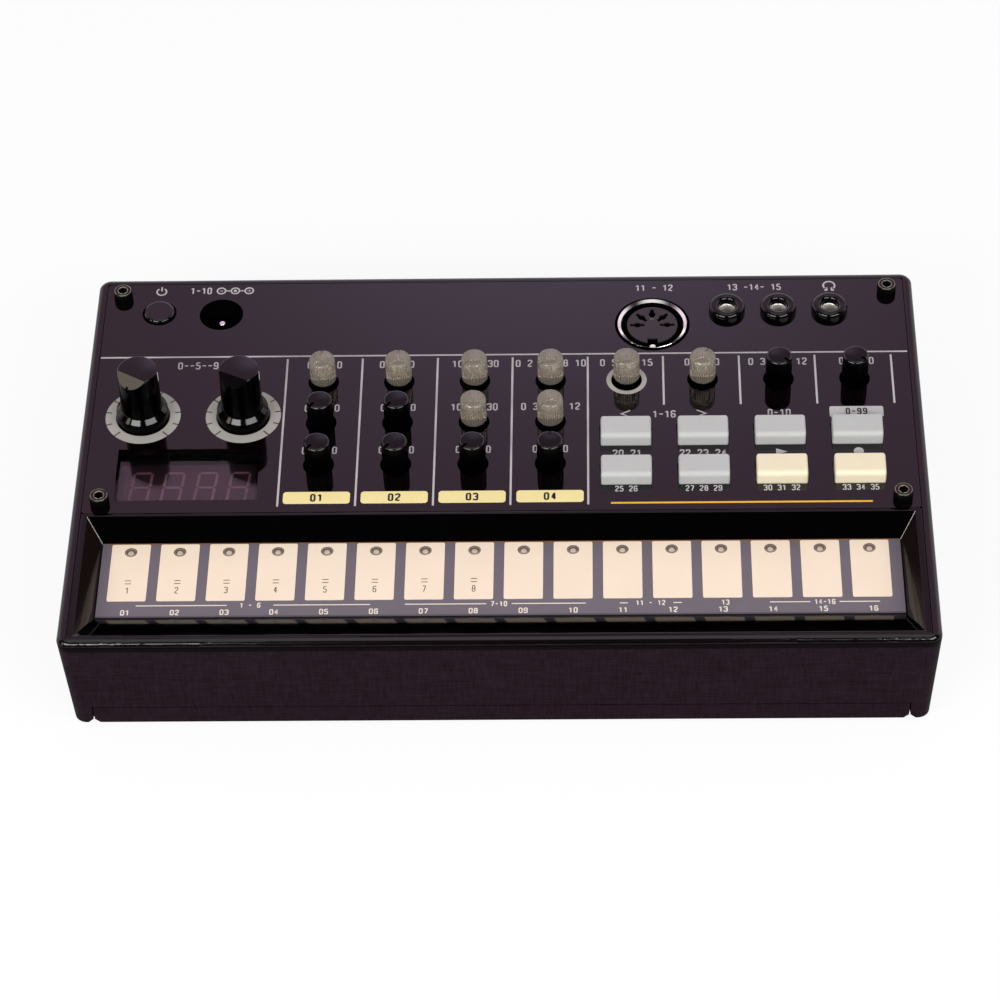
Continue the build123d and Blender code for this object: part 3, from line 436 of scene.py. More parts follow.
# plain numerals of one pen: paths on a grid one wide and two high, corners rounded
penPaths = {
    "0": [[(0, 0), (1, 0), (1, 2), (0, 2), "closed"]],
    "1": [[(0.05, 1.55), (0.6, 2), (0.6, 0)]],
    "2": [[(0, 1.6), (0, 2), (1, 2), (1, 1.25), (0, 0.35), (0, 0), (1, 0)]],
    "3": [[(0, 1.65), (0, 2), (1, 2), (1, 1.04), (0.35, 1.04)], [(0.6, 1.04), (1, 1.04), (1, 0), (0, 0), (0, 0.35)]],
    "4": [[(0.72, 0), (0.72, 2), (0, 0.6), (1.08, 0.6)]],
    "5": [[(1, 2), (0, 2), (0, 1.12), (1, 1.12), (1, 0), (0, 0), (0, 0.35)]],
    "6": [[(1, 1.65), (1, 2), (0, 2), (0, 0), (1, 0), (1, 1.1), (0.05, 1.1)]],
    "7": [[(0, 2), (1, 2), (1, 1.7), (0.35, 0)]],
    "8": [[(0, 0), (1, 0), (1, 1.04), (0, 1.04), "closed"], [(0.06, 1.04), (0.06, 2), (0.94, 2), (0.94, 1.04)]],
    "9": [[(0, 0.35), (0, 0), (1, 0), (1, 2), (0, 2), (0, 0.9), (0.95, 0.9)]],
    "-": [[(0.0, 1.02), (1.0, 1.02)]],
}


def roundPath(points, radius, closed):
    # swaps each corner for a short curve
    count = len(points)
    path = []
    for i, p in enumerate(points):
        if not closed and i in (0, count - 1):
            path.append(p)
            continue
        before, after = points[i - 1], points[(i + 1) % count]
        a = p + (before - p).normalized() * min(radius, (before - p).length * 0.49)
        b = p + (after - p).normalized() * min(radius, (after - p).length * 0.49)
        for k in range(5):
            f = k / 4
            path.append(a * (1 - f) ** 2 + p * 2 * f * (1 - f) + b * f * f)
    return path


def addStroke(mesh, path, width, z0, z1, closed=False):
    count = len(path)
    sides = []
    for i, p in enumerate(path):
        before = path[i - 1] if closed or i else p
        after = path[(i + 1) % count] if closed or i < count - 1 else p
        first = (p - before).normalized() if p != before else (after - p).normalized()
        second = (after - p).normalized() if after != p else first
        along = (first + second).normalized()
        reach = width / 2 / max(0.5, along.dot(first))
        sides.append(Vector((-along.y, along.x)) * reach)
    addStrip(mesh, [[mesh.verts.new((p.x + side.x * s, p.y + side.y * s, z)) for p, side in zip(path, sides)]
                    for z, s in ((z0, 1), (z0, -1), (z1, -1), (z1, 1))], closed)


def addText(mesh, text, x, y, height, z, pitch=0.6, pen=0.145, thick=0.02):
    # centred on x and y; pitch and pen are shares of the height
    step = height * pitch
    line = height * pen
    wide = step - line * 1.75
    left = x - step * (len(text) - 1) / 2 - wide / 2
    for i, letter in enumerate(text):
        for k, stroke in enumerate(penPaths.get(letter, [])):
            closed = stroke[-1] == "closed"
            points = [Vector((left + i * step + px * wide, y - height / 2 + line / 2 + py / 2 * (height - line)))
                      for px, py in (stroke[:-1] if closed else stroke)]
            addStroke(mesh, roundPath(points, height * 0.16, closed), line, z, z + thick + 0.003 * k, closed)


# printing on the panel; amber rule: left, right, front, back; labels: text, x, y, height

printLook = {
    "thick": 0.02,
    "ruleWidth": 0.46,
    "ruleY": 30.7,
    "ruleX": (-93.9, 93.9),
    "longRules": [-50.1, -32.6, -15.1, 2.3, 19.75],
    "shortRules": [37.2, 54.8, 72.35, 90.0],
    "ruleTop": 29.75,
    "longBottom": -17.0,
    "shortBottom": 14.0,
    "amberRule": (24.85, 83.35, -16.85, -16.35),
    "numberHeight": 2.3,
    "labels": [
        ("0--5--9", -70.9, 27.8, 2.3), ("1-10", -71.9, 52.9, 2.2), ("11 - 12", 35.5, 52.6, 2.15),
        ("13 -14- 15", 59.1, 52.6, 2.15), ("1-16", 37.2, 11.0, 2.3), ("0-10", 63.5, 11.2, 2.3),
        ("20 21", 28.6, -1.3, 2.25), ("22 23 24", 45.8, -1.35, 2.25), ("25 26", 28.3, -12.25, 1.75),
        ("27 28 29", 45.75, -12.25, 1.75), ("30 31 32", 63.25, -12.25, 1.75), ("33 34 35", 80.95, -12.25, 1.75),
    ],
}
# arcs: x, y, inner, outer, start, end; bars: left, right, front, back
# discs: x, y, radius, corner count; shapes: their corners
signs = {
    "switch": {"arcs": [(-81.3, 52.7, 0.95, 1.3, 125, 415)], "bars": [(-81.47, -81.13, 52.9, 54.3)]},
    "polarity": {"arcs": [(x, 52.85, 0.8, 1.15, 0, 360) for x in (-67.1, -63.8, -60.5)],
                 "bars": [(-66.0, -64.9, 52.7, 53.0), (-62.7, -61.6, 52.7, 53.0), (-67.5, -66.7, 52.75, 52.95),
                          (-60.9, -60.1, 52.75, 52.95), (-60.6, -60.4, 52.45, 53.25)],
                 "discs": [(-63.8, 52.85, 0.4, 24)]},
    "headphones": {"arcs": [(76.8, 52.9, 1.15, 1.55, -55, 235)],
                   "bars": [(75.7, 76.4, 51.1, 52.2), (77.2, 77.9, 51.1, 52.2)]},
    "play": {"shapes": [[(62.35, -0.15), (62.35, -2.15), (64.95, -1.15)]]},
    "record": {"discs": [(81.05, -1.15, 1.15, 40)]},
}
arrowLook = {"places": ((28.24, -1), (45.86, 1)), "y": 11.15, "reach": 1.2, "outer": 1.25, "inner": 0.9, "pen": 0.75}
# a plain scale behind every spindle, the head hides its middle
scaleText = {
    1: ["0 5 10", "0 5 10 ", "10 20 30", "0 2 4 6 8 10", "0 5 10 15", "0 5 10", "0 3 6 9 12", " 0 5 10"],
    2: ["0 5 10", "0 5 10", "10 20 30", "0 3 6 9 12"],
    3: ["0 5 10", "0 5 10", "0 5 10", "0 5 10"],
}
columns = [-41.38 + 17.52 * i for i in range(8)]
rowY = {1: 22.1, 2: 8.95, 3: -4.2}
labelRise = {1: 5.65, 2: 4.8, 3: 4.5}

look = printLook
thick = look["thick"]
inkTop = top + thick
half = look["ruleWidth"] / 2
grey = bmesh.new()
addBar(grey, *look["ruleX"], look["ruleY"] - half, look["ruleY"] + half, top, inkTop)
for rules, bottom in (("longRules", "longBottom"), ("shortRules", "shortBottom")):
    for x in look[rules]:
        addBar(grey, x - half, x + half, look[bottom], look["ruleTop"], top, inkTop)
for row, texts in scaleText.items():
    for x, text in zip(columns, texts):
        addText(grey, text, x, rowY[row] + labelRise[row], look["numberHeight"], top)
for text, x, y, height in look["labels"]:
    addText(grey, text, x, y, height, top)
y, reach, outer, inner, pen = (arrowLook[key] for key in ("y", "reach", "outer", "inner", "pen"))
for x, side in arrowLook["places"]:
    tip, back = x + side * reach, x - side * reach
    for up in (1, -1):
        addShape(grey, [(tip, y), (back, y + up * outer), (back, y + up * inner), (tip - side * pen, y)], top, inkTop)
for sign in signs.values():
    for arc in sign.get("arcs", []):
        addArc(grey, *arc, top, inkTop)
    for bar in sign.get("bars", []):
        addBar(grey, *bar, top, inkTop)
    for shape in sign.get("shapes", []):
        addShape(grey, shape, top, inkTop)
    for x, y, radius, corners in sign.get("discs", []):
        addLoops(grey, [ring(radius, z, corners, x, y) for z in (top, inkTop)])
makePiece("print_grey", grey, "printGrey")

amber = bmesh.new()
addBar(amber, *look["amberRule"], top, inkTop)
makePiece("print_amber_rule", amber, "printAmber")

# plates under numbers: width, depth, corner, y; paleText is text, y, height
plateLook = {"yellow": (15.1, 3.65, 0.8, -14.4), "yellowHeight": 2.35, "pale": (12.3, 3.4, 0.5, 11.35),
             "paleX": 81.16, "paleText": ("0-99", 11.45, 2.1)}
look = plateLook
plates = bmesh.new()
plateInk = bmesh.new()
width, depth, corner, y = look["yellow"]
for column, x in enumerate(columns[:4]):
    addShape(plates, roundedOutline(width, depth, corner, x, y), top, inkTop)
    addText(plateInk, f"0{column + 1}", x, y, look["yellowHeight"], inkTop, 0.68, 0.19)
makePiece("print_label_plates", plates, "printYellow")
pale = bmesh.new()
width, depth, corner, y = look["pale"]
addShape(pale, roundedOutline(width, depth, corner, look["paleX"], y), top, inkTop)
text, y, height = look["paleText"]
addText(plateInk, text, look["paleX"], y, height, inkTop, 0.62, 0.17)
makePiece("print_pale_plate", pale, "printPale")
makePiece("print_label_numbers", plateInk, "printDark")

dialPlaces = {"left": (-82.5, 11.5), "right": (-59.4, 11.5)}
dialScale = {"inner": 6.25, "outer": 8.65, "tickWidth": 0.3, "tickInner": 7.35, "tickOuter": 8.65, "endInner": 6.9,
             "count": 11, "first": 225, "sweep": 270, "spindleInner": 3.55, "spindleOuter": 4.65}
look = dialScale
rings = bmesh.new()
ticks = bmesh.new()
for x, y in dialPlaces.values():
    addArc(rings, x, y, look["inner"], look["outer"], 0, 360, top, inkTop, 96)
    for i in range(look["count"]):
        angle = radians(look["first"] - look["sweep"] * i / (look["count"] - 1))
        inner = look["endInner"] if i in (0, look["count"] - 1) else look["tickInner"]
        side = Vector((-sin(angle), cos(angle))) * look["tickWidth"] / 2
        reach = Vector((cos(angle), sin(angle)))
        outer = look["tickOuter"]
        corners = [reach * inner - side, reach * outer - side, reach * outer + side, reach * inner + side]
        addShape(ticks, [(x + c.x, y + c.y) for c in corners], inkTop, top + 2 * thick)
addArc(rings, columns[4], rowY[1], look["spindleInner"], look["spindleOuter"], 0, 360, top, inkTop, 72)
makePiece("print_dial_rings", rings, "ringGrey")
makePiece("print_dial_ticks", ticks, "printDark")
print("panel printing done")


# printing on the touch strip

stripPrint = {
    "padPitch": 11.02, "padMiddle": -0.25, "ruleY": -40.95, "ruleWidth": 0.26, "groupHeight": 1.55,
    "numberY": -42.95, "numberHeight": 1.6, "edgeHalf": 5.15, "edgeY": (-22.74, -22.36),
}
# pads in a group: text, its middle, gap each side of it, left and right ends of the rule
groups = [("1 - 6", -55.2, 5.2, -80.6, -28.6), ("7-10", -0.1, 2.8, -20.9, 19.1), ("11 - 12", 33.4, 5.0, 26.6, 40.3),
          ("13", 49.9, 2.0, 49.9, 49.9), ("14-16", 71.8, 3.2, 59.7, 83.9)]
look = stripPrint
half = look["ruleWidth"] / 2
padX = [look["padMiddle"] + look["padPitch"] * (i - 7.5) for i in range(16)]
cream = bmesh.new()
for text, middle, gap, left, right in groups:
    addText(cream, text, middle, look["ruleY"], look["groupHeight"], stripTop, 0.62, 0.17)
    for x0, x1 in ((left, middle - gap), (middle + gap, right)):
        if x1 > x0:
            addBar(cream, x0, x1, look["ruleY"] - half, look["ruleY"] + half, stripTop, stripTop + thick)
for i, x in enumerate(padX):
    addText(cream, f"{i + 1:02d}", x, look["numberY"], look["numberHeight"], stripTop, 0.7, 0.17)
makePiece("print_strip_numbers", cream, "printCream")

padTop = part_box("touch_pads")[1].z / mm
windowLook = {
    "radius": 1.4, "play": 0.02, "y": -25.05, "sink": 0.1, "depth": 1.2, "lens": 0.66, "lensShift": 0.2,
    "lensSink": 0.03, "lensDome": ((1.0, 0.0), (0.95, 0.05), (0.75, 0.08), (0.4, 0.1), (0.1, 0.105)),
    "arcInner": 0.7, "arcOuter": 0.98, "arcAngles": (-10, 190),
}
look = windowLook
radius, y = look["radius"], look["y"]
dished = [(radius - look["play"], look["depth"]), (radius - look["play"], 0.16), (radius - 0.2, 0.04),
          (look["lens"] + 0.1, 0.0)]
frost = bmesh.new()
lenses = bmesh.new()
arcs = bmesh.new()
z = padTop - look["sink"]
for x in padX:
    addLoops(frost, [ring(r, z - drop, 32, x, y) for r, drop in dished])
    addLoops(lenses, [ring(look["lens"] * k, z - look["lensSink"] + rise, 32, x, y - look["lensShift"])
                      for k, rise in look["lensDome"]])
    addArc(arcs, x, y - look["lensShift"], look["arcInner"], look["arcOuter"], *look["arcAngles"], z - 0.1, z + 0.03,
           24)
makePiece("lamp_windows", frost, "lampFrost", replaces=["step_lights"])
makePiece("lamp_lenses", lenses, "lampLens")
makePiece("lamp_arcs", arcs, "printBrown")
edgeLine = bmesh.new()
reach = stripPrint["edgeHalf"]
for i in range(0, 16, 4):
    addBar(edgeLine, padX[i] - reach, padX[i + 3] + reach, *stripPrint["edgeY"], stripTop, stripTop + thick)
makePiece("print_strip_edge", edgeLine, "printRust")

padMarks = {"lines": (-34.5, -33.6), "lineHalf": 0.7, "lineThin": 0.1, "numberY": -36.5, "numberHeight": 1.9}
look = padMarks
brown = bmesh.new()
for i, x in enumerate(padX[:8]):
    for y in look["lines"]:
        addBar(brown, x - look["lineHalf"], x + look["lineHalf"], y - look["lineThin"], y + look["lineThin"], padTop,
               padTop + thick)
    addText(brown, str(i + 1), x, look["numberY"], look["numberHeight"], padTop, 0.5, 0.1)
makePiece("print_pad_numbers", brown, "printBrown")
print("strip printing done")


# pad frame: gloss tray with softened corners

trayLook = {
    "halfWidth": 94.1, "back": -18.85, "front": -55.6, "openHalf": 92.75, "openBack": -19.6, "openFront": -55.0,
    "lowHalf": 89.5, "lowBack": -22.25, "lowFront": -44.05, "lowZ": 24.0, "seat": 28.7, "underZ": 22.3,
    "underHalf": 90.1, "edge": 0.16,
}


def rectangle(halfWidth, front, back, z):
    return [(-halfWidth, front, z), (halfWidth, front, z), (halfWidth, back, z), (-halfWidth, back, z)]


look = trayLook
tray = bmesh.new()
addLoops(tray, [
    rectangle(look["underHalf"], look["lowFront"], look["back"] - 0.4, look["underZ"]),
    rectangle(look["openHalf"], look["openFront"], look["back"] - 0.2, look["seat"]),
    rectangle(look["halfWidth"], look["front"], look["back"], look["seat"]),
    rectangle(look["halfWidth"], look["front"], look["back"], top),
    rectangle(look["openHalf"], look["openFront"], look["openBack"], top),
    rectangle(look["lowHalf"], look["lowFront"], look["lowBack"], look["lowZ"]),
])
piece = makePiece("pad_tray", tray, "frameGloss", replaces=["pad_frame"], bevel=look["edge"])
# side slopes painted a lighter brown, a painted sheen; seams in the two back corners painted pale, a painted
# highlight
paintFaces(piece, "framePaintedSheen", lambda face: abs(face.normal.x) > 0.7 and face.normal.z > 0.3)
paintFaces(piece, "paintedSeamHighlight", lambda face: face.center.y > look["lowBack"] * mm and face.center.z < (top - 0.4) * mm
           and min(abs(face.normal.x), abs(face.normal.y)) > 0.2 and face.normal.z > 0.3)


# cap-head screws: knurled rim, rounded top edge, hexagon socket

screwLook = {"x": (-90.2, 90.2), "y": (50.8, -15.3), "radius": 2.2, "height": 2.5, "socket": 1.12, "depth": 1.5,
             "ribs": 36, "ribDepth": 0.09, "shank": 1.25, "length": 10.0}


def hexagon(radius, z, count):
    flat = radius * cos(pi / 6)
    return shapedRing(z, count, lambda a: flat / cos((a % (pi / 3)) - pi / 6))


look = screwLook
count = look["ribs"] * 6
r, h, socket = look["radius"], look["height"], look["socket"]
profile = [(look["shank"], -look["length"]), (look["shank"], 0), (r - 0.12, 0.0), (r, 0.12, look["ribDepth"]),
           (r, h - 0.55, look["ribDepth"]), (r - 0.1, h - 0.4), (r - 0.14, h - 0.22), (r - 0.24, h - 0.07),
           (r - 0.42, h), (socket + 0.16, h)]
loops = turned(profile, count, look["ribs"]) + [hexagon(socket, h - 0.12, count),
                                                hexagon(socket, h - look["depth"], count)]
screws = bmesh.new()
for x in look["x"]:
    for y in look["y"]:
        # each head at its own angle
        addLoops(screws, loops, Matrix.Translation((x, y, top)) @ Matrix.Rotation(0.3 * x + y, 4, "Z"))
piece = makePiece("screws_cap_head", screws, "screwBlack", replaces=["panel_screws"], sharp=50)
headTop = (top + h) * mm
# head side and socket a dull near-black, painted shade; socket chamfer and top edge bright metal, a painted glint
paintFaces(piece, "wellPaintedShadeBlack", lambda face: face.center.z < headTop - 0.3 * mm)
paintFaces(piece, "screwPaintedGlint", lambda face: headTop - 0.13 * mm < face.center.z < headTop - 0.02 * mm)
print("tray and screws done")


# slim spindles

spindleLook = {"radius": 3.0, "height": 7.85, "headBottom": 1.2, "ribs": 32, "ribDepth": 0.24, "ribTop": 3.6,
               "stem": 2.45, "stemBottom": -9.8, "edge": 0.7, "grooveWidth": 0.6, "grooveDepth": 0.5,
               "grooveStart": 1.55}
spindleAngles = {
    "c1_r1": 92, "c1_r2": 223, "c1_r3": 223, "c2_r1": 88, "c2_r2": 223, "c2_r3": 222, "c3_r1": 221, "c3_r2": 222,
    "c3_r3": 223, "c4_r1": 226, "c4_r2": 224, "c4_r3": 90, "c5_r1": 224, "c6_r1": 60, "c7_r1": -42, "c8_r1": -38,
}


def spindleMesh():
    # one head at the origin, its groove along the x axis
    look = spindleLook
    r, h, low = look["radius"], look["height"], look["headBottom"]
    rib = look["ribDepth"]
    profile = [(look["stem"], look["stemBottom"]), (look["stem"], low - 0.15), (look["stem"] + 0.1, low),
               (r - 0.32, low), (r - 0.12, low + 0.12, rib * 0.6), (r, low + 0.3, rib), (r, h - 3.3, rib),
               (r - 0.02, h - 2.7, rib * 0.4), (r - 0.03, h - 2.3)] + roundEdge(r - 0.03, h, look["edge"])
    mesh = bmesh.new()
    addLoops(mesh, turned(profile, look["ribs"] * 6, look["ribs"]))
    piece = makePiece("spindle_shape", mesh, "spindleClear", "spindle_c1_r1", sharp=50)
    cutter = bmesh.new()
    w = look["grooveWidth"] / 2
    addBar(cutter, look["grooveStart"], r + 1, -w, w, h - look["grooveDepth"], h + 1)
    cutAway(piece, makePiece("spindle_cutter", cutter, "spindleClear", "spindle_c1_r1", sharp=50))
    data = piece.data
    bpy.data.objects.remove(piece)
    data.set_sharp_from_angle(angle=radians(42))
    return data


spindleShape = spindleMesh()
look = spindleLook
headLow = (top + look["headBottom"]) * mm
ribTop = (top + look["height"] - look["ribTop"]) * mm
groove = (look["radius"] - look["ribDepth"] * 0.66) * mm
for name, angle in spindleAngles.items():
    middle = Vector((columns[int(name[1]) - 1], rowY[int(name[4])], top)) * mm
    clear = name in clearSpindles
    data = spindleShape.copy()
    data.transform(Matrix.Translation(middle) @ Matrix.Rotation(radians(angle), 4, "Z"))
    data.materials.clear()
    data.materials.append(surfaces["spindleClear" if clear else "spindleBlack"])
    piece = addObject("knurled_" + name, data)
    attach(piece, "spindle_" + name)
    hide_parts("spindle_" + name)
    if clear:
        # grooves between the ribs painted darker, painted shade; stem below the head painted black, painted shade in
        # the hole
        paintFaces(piece, "spindleGroovePaintedShade", lambda face: abs(face.normal.z) < 0.5 and face.center.z < ribTop
                   and (face.center.xy - middle.xy).length < groove)
        paintFaces(piece, "spindleSidePaintedShade", lambda face: face.center.z < headLow and abs(face.normal.z) < 0.9)
    else:
        # rounded edge more reflective, a painted glint; side darker and barely reflective, painted shade
        paintFaces(piece, "spindleEdgePaintedGlint", lambda face: 0.2 < face.normal.z < 0.96)
        paintFaces(piece, "spindleSidePaintedShade", lambda face: face.normal.z < 0.2)
print("spindles done")


# large dials

dialLook = {
    "bore": 3.05, "boreTop": 9.0, "skirt": 5.9, "skirtEdge": 0.22, "float": 0.3, "skirtTop": 2.7, "flareTop": 3.7,
    "waist": 4.75, "waistTop": 8.5, "topRadius": 4.5, "height": 15.3, "edge": 0.4,
    "facetAngle": {"left": 240.5, "right": 244}, "facetInset": 2.35, "facetSlope": 46,
    "facetCut": (0, 12, -9, 9, 0, 9), "grooveWidth": 0.6, "grooveDepth": 0.35, "grooveOut": 7, "grooveTop": 13.6,
    "grooveBottom": 11.8, "indexAngle": 3, "indexHalf": 0.3, "indexIn": 0.3, "indexProud": 0.12, "indexBottom": 11.5,
    "indexTop": 14.0, "indexEdge": 0.06,
}


def cutterPiece(mesh, matrix, name, body):
    bmesh.ops.transform(mesh, verts=mesh.verts, matrix=matrix)
    return makePiece(name, mesh, "dialBlack", body)


def dialMesh(name, x, y):
    look = dialLook
    skirt, skirtTop, soft = look["skirt"], look["skirtTop"], look["skirtEdge"]
    waist, flareTop, h, reach = look["waist"], look["flareTop"], look["height"], look["topRadius"]
    profile = [(look["bore"], look["boreTop"]), (look["bore"], look["float"]), (skirt - soft, look["float"]),
               (skirt, look["float"] + soft), (skirt, skirtTop - soft), (skirt - 0.04, skirtTop - 0.08),
               (skirt - 0.14, skirtTop + 0.06), (waist + 0.14, flareTop - 0.06), (waist + 0.03, flareTop + 0.1),
               (waist - 0.01, flareTop + 0.4), (waist - 0.12, look["waistTop"])] + roundEdge(reach, h, look["edge"])
    mesh = bmesh.new()
    addLoops(mesh, turned(profile, 144))
    body = "dial_" + name
    piece = makePiece("dial_cap_" + name, mesh, "dialBlack", body, ["dial_knob_" + name], sharp=40)
    # slanted facet with a groove down the side under it
    turn = Matrix.Rotation(radians(look["facetAngle"][name]), 4, "Z")
    slope = Matrix.Rotation(radians(look["facetSlope"]), 4, "Y")
    cutter = bmesh.new()
    addBar(cutter, *look["facetCut"])
    cutAway(piece, cutterPiece(cutter, turn @ Matrix.Translation((look["facetInset"], 0, h)) @ slope, "dial_cutter",
                               body))
    groove = bmesh.new()
    w = look["grooveWidth"] / 2
    addBar(groove, reach - look["grooveDepth"], look["grooveOut"], -w, w, look["grooveBottom"], look["grooveTop"])
    cutAway(piece, cutterPiece(groove, turn, "dial_groove", body))
    piece.data.transform(Matrix.Translation((x * mm, y * mm, top * mm)))
    piece.data.set_sharp_from_angle(angle=radians(28))
    # sides darker and barely reflective, painted shade; the top keeps the gloss
    paintFaces(piece, "dialSidePaintedShade", lambda face: face.normal.z < 0.3)
    # pale index let into the side
    index = bmesh.new()
    w = look["indexHalf"]
    addBar(index, reach - look["indexIn"], reach + look["indexProud"], -w, w, look["indexBottom"],
           look["indexTop"])
    bmesh.ops.transform(index, verts=index.verts, matrix=Matrix.Translation((x, y, top))
                        @ Matrix.Rotation(radians(look["indexAngle"]), 4, "Z"))
    makePiece("dial_index_" + name, index, "indexWhite", body, bevel=look["indexEdge"])


for name, (x, y) in dialPlaces.items():
    dialMesh(name, x, y)
print("dials done")


# jack collars and their bright sleeves

jackLook = {
    "x": (52.5, 64.5, 76.5), "y": 44.85, "radius": 4.25, "height": 2.1, "roll": 1.15, "face": 3.05, "mouth": 1.9,
    "wall": 0.55, "neck": 3.7, "neckDepth": 2.0, "bore": 1.8, "sleeveWall": 0.3, "sleeveTop": 0.15,
    "sleeveBottom": -6.4, "shoulder": 2.3, "shoulderTop": -2.2,
}
look = jackLook
mouth, bore, rim, wide = look["mouth"], look["bore"], look["sleeveTop"], look["shoulder"]
# lip rolled over from the mouth to the outside
collar = [(mouth + look["wall"], 0.3), (mouth, 0.3)]
for i in range(-8, 9):
    a = radians(90 * i / 8)
    reach = (look["radius"] if i > 0 else 2 * look["face"] - mouth) - look["face"]
    collar.append((look["face"] + reach * sin(a), look["height"] - look["roll"] + look["roll"] * cos(a)))
collar += [(look["radius"], 0.0), (look["neck"], 0.0), (look["neck"], -look["neckDepth"]),
           (mouth + look["wall"], -look["neckDepth"])]
sleeve = [(bore + look["sleeveWall"], rim - 0.08), (bore + 0.12, rim), (bore, rim - 0.15),
          (bore, look["sleeveBottom"]), (wide, look["sleeveBottom"]), (wide, look["shoulderTop"]),
          (bore + look["sleeveWall"], look["shoulderTop"] + 0.3)]
collars = bmesh.new()
sleeves = bmesh.new()
for x in look["x"]:
    addTube(collars, collar, x, look["y"], top)
    addTube(sleeves, sleeve, x, look["y"], top)
makePiece("jack_collar_rings", collars, "socketBlack", replaces=["jack_collars"], sharp=35)
makePiece("jack_bright_sleeves", sleeves, "satinNickel", replaces=["jack_sleeves"], sharp=35)


# round socket shell with a rolled lip and its key tab

shellLook = {"x": 34.9, "y": 40.4, "outer": 8.1, "inner": 7.35, "proud": 0.3, "length": 7.6, "tab": 0.85}
look = shellLook
x, y, tab = look["x"], look["y"], look["tab"]
inner, outer, lip = look["inner"], look["outer"], look["proud"]
low = lip - look["length"]
shell = bmesh.new()
addTube(shell, [(inner, low), (inner, lip - 0.5), (inner + 0.02, lip - 0.42), (outer - 0.12, lip - 0.04),
                (outer - 0.06, lip), (outer - 0.01, lip - 0.05), (outer, lip - 0.14), (outer, low)], x, y, top, 96)
# half round key tab, flat against the shell
addLoops(shell, [[(px, y - inner - 0.05 + max(0.0, py), z) for px, py, z in ring(r, top + rise, 32, x)]
                 for r, rise in ((tab, low + 1.0), (tab, -0.35), (tab * 0.85, -0.12), (tab * 0.5, 0.0))])
makePiece("round_socket_shell", shell, "chrome", replaces=["din_shell"], sharp=35)
print("sockets done")


# display digits under the window

digitLook = {"x": (-82.06, -74.75, -67.2, -59.75), "middleY": -6.8, "width": 4.1, "height": 9.0, "slant": 0.096,
             "stroke": 0.62, "gap": 0.12, "drop": 5.0}
look = digitLook
digits = bmesh.new()
faceZ = top - look["drop"]
w, h, s = look["width"] / 2, look["height"] / 2, look["stroke"] / 2
segments = [((-w, h), (w, h)), ((-w, 0), (w, 0)), ((-w, -h), (w, -h)), ((-w, 0), (-w, h)), ((w, 0), (w, h)),
            ((-w, -h), (-w, 0)), ((w, -h), (w, 0))]
for middleX in look["x"]:
    for start, end in segments:
        start, end = Vector(start), Vector(end)
        along = (end - start).normalized()
        side = Vector((-along.y, along.x)) * s
        a, b = start + along * look["gap"], end - along * look["gap"]
        shape = [a, a + along * s - side, b - along * s - side, b, b - along * s + side, a + along * s + side]
        addShape(digits, [(middleX + p.x + look["slant"] * p.y, look["middleY"] + p.y) for p in shape], faceZ,
                 faceZ + thick)
makePiece("display_segments", digits, "segmentGrey")
print("display done")


# floor and lamps in metres, camera in millimetres

floorLook = {"size": 6.0, "paper": (0.82, 0.82, 0.82, 1), "rough": 0.9, "glow": 1.03, "share": 0.86}


def mixShader(tree, factor, first, second):
    node = addNode(tree, "ShaderNodeMixShader")
    for socket, output in zip(node.inputs, (factor, first, second)):
        tree.links.new(output, socket)
    return node.outputs["Shader"]


def stageFloor():
    look = floorLook
    mesh = bmesh.new()
    bmesh.ops.create_grid(mesh, x_segments=1, y_segments=1, size=look["size"])
    floor = meshObject("floor", mesh)
    material, tree, shader = newMaterial("floorPaper")
    shader.inputs["Base Color"].default_value = look["paper"]
    shader.inputs["Roughness"].default_value = look["rough"]
    shader.inputs["Specular IOR Level"].default_value = 0.0
    glow = addNode(tree, "ShaderNodeEmission")
    glow.inputs["Color"].default_value = (1, 1, 1, 1)
    glow.inputs["Strength"].default_value = look["glow"]
    fromCamera = addNode(tree, "ShaderNodeLightPath").outputs["Is Camera Ray"]
    paper = mixShader(tree, maths(tree, "MULTIPLY", fromCamera, look["share"]), shader.outputs["BSDF"],
                      glow.outputs["Emission"])
    # one-sided: from under the floor the view passes through it
    geometry = addNode(tree, "ShaderNodeNewGeometry")
    seeThrough = addNode(tree, "ShaderNodeBsdfTransparent")
    under = maths(tree, "MULTIPLY", fromCamera, geometry.outputs["Backfacing"])
    whole = mixShader(tree, under, paper, seeThrough.outputs["BSDF"])
    tree.links.new(whole, tree.nodes["Material Output"].inputs["Surface"])
    floor.data.materials.append(material)
    floor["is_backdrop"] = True


# x right, y to the back, z up; a pair of directions is where a soft border starts and ends
roomLook = {
    "fill": 0.42, "dark": (0.03, 0.025, 0.03), "white": 1.4,
    "wall": (0.7, 0.455, 0.63), "wallDepth": (-0.1, 0.4),
    "glow": (1.28, 1.03, 1.48), "glowShift": 0.014, "glowAside": (0.19, 0.0), "glowHeight": (0.745, 0.665),
    "glowDepth": (0.0, 0.3),
    "lowAside": (0.8, 0.4), "lowHeight": (0.5, 0.2), "lowDepth": (-0.3, 0.3),
    "sides": 0.55, "sidesAside": (0.45, 0.8), "sidesDepth": (-0.1, 0.3),
    "ceiling": 0.8, "ceilingHeight": (0.86, 0.97),
    "window": (4.2, 3.7, 3.0), "windowLeft": (-0.88, -0.84), "windowRight": (-0.728, -0.738),
    "windowFront": (-0.56, -0.53), "windowBack": (-0.28, -0.32),
}


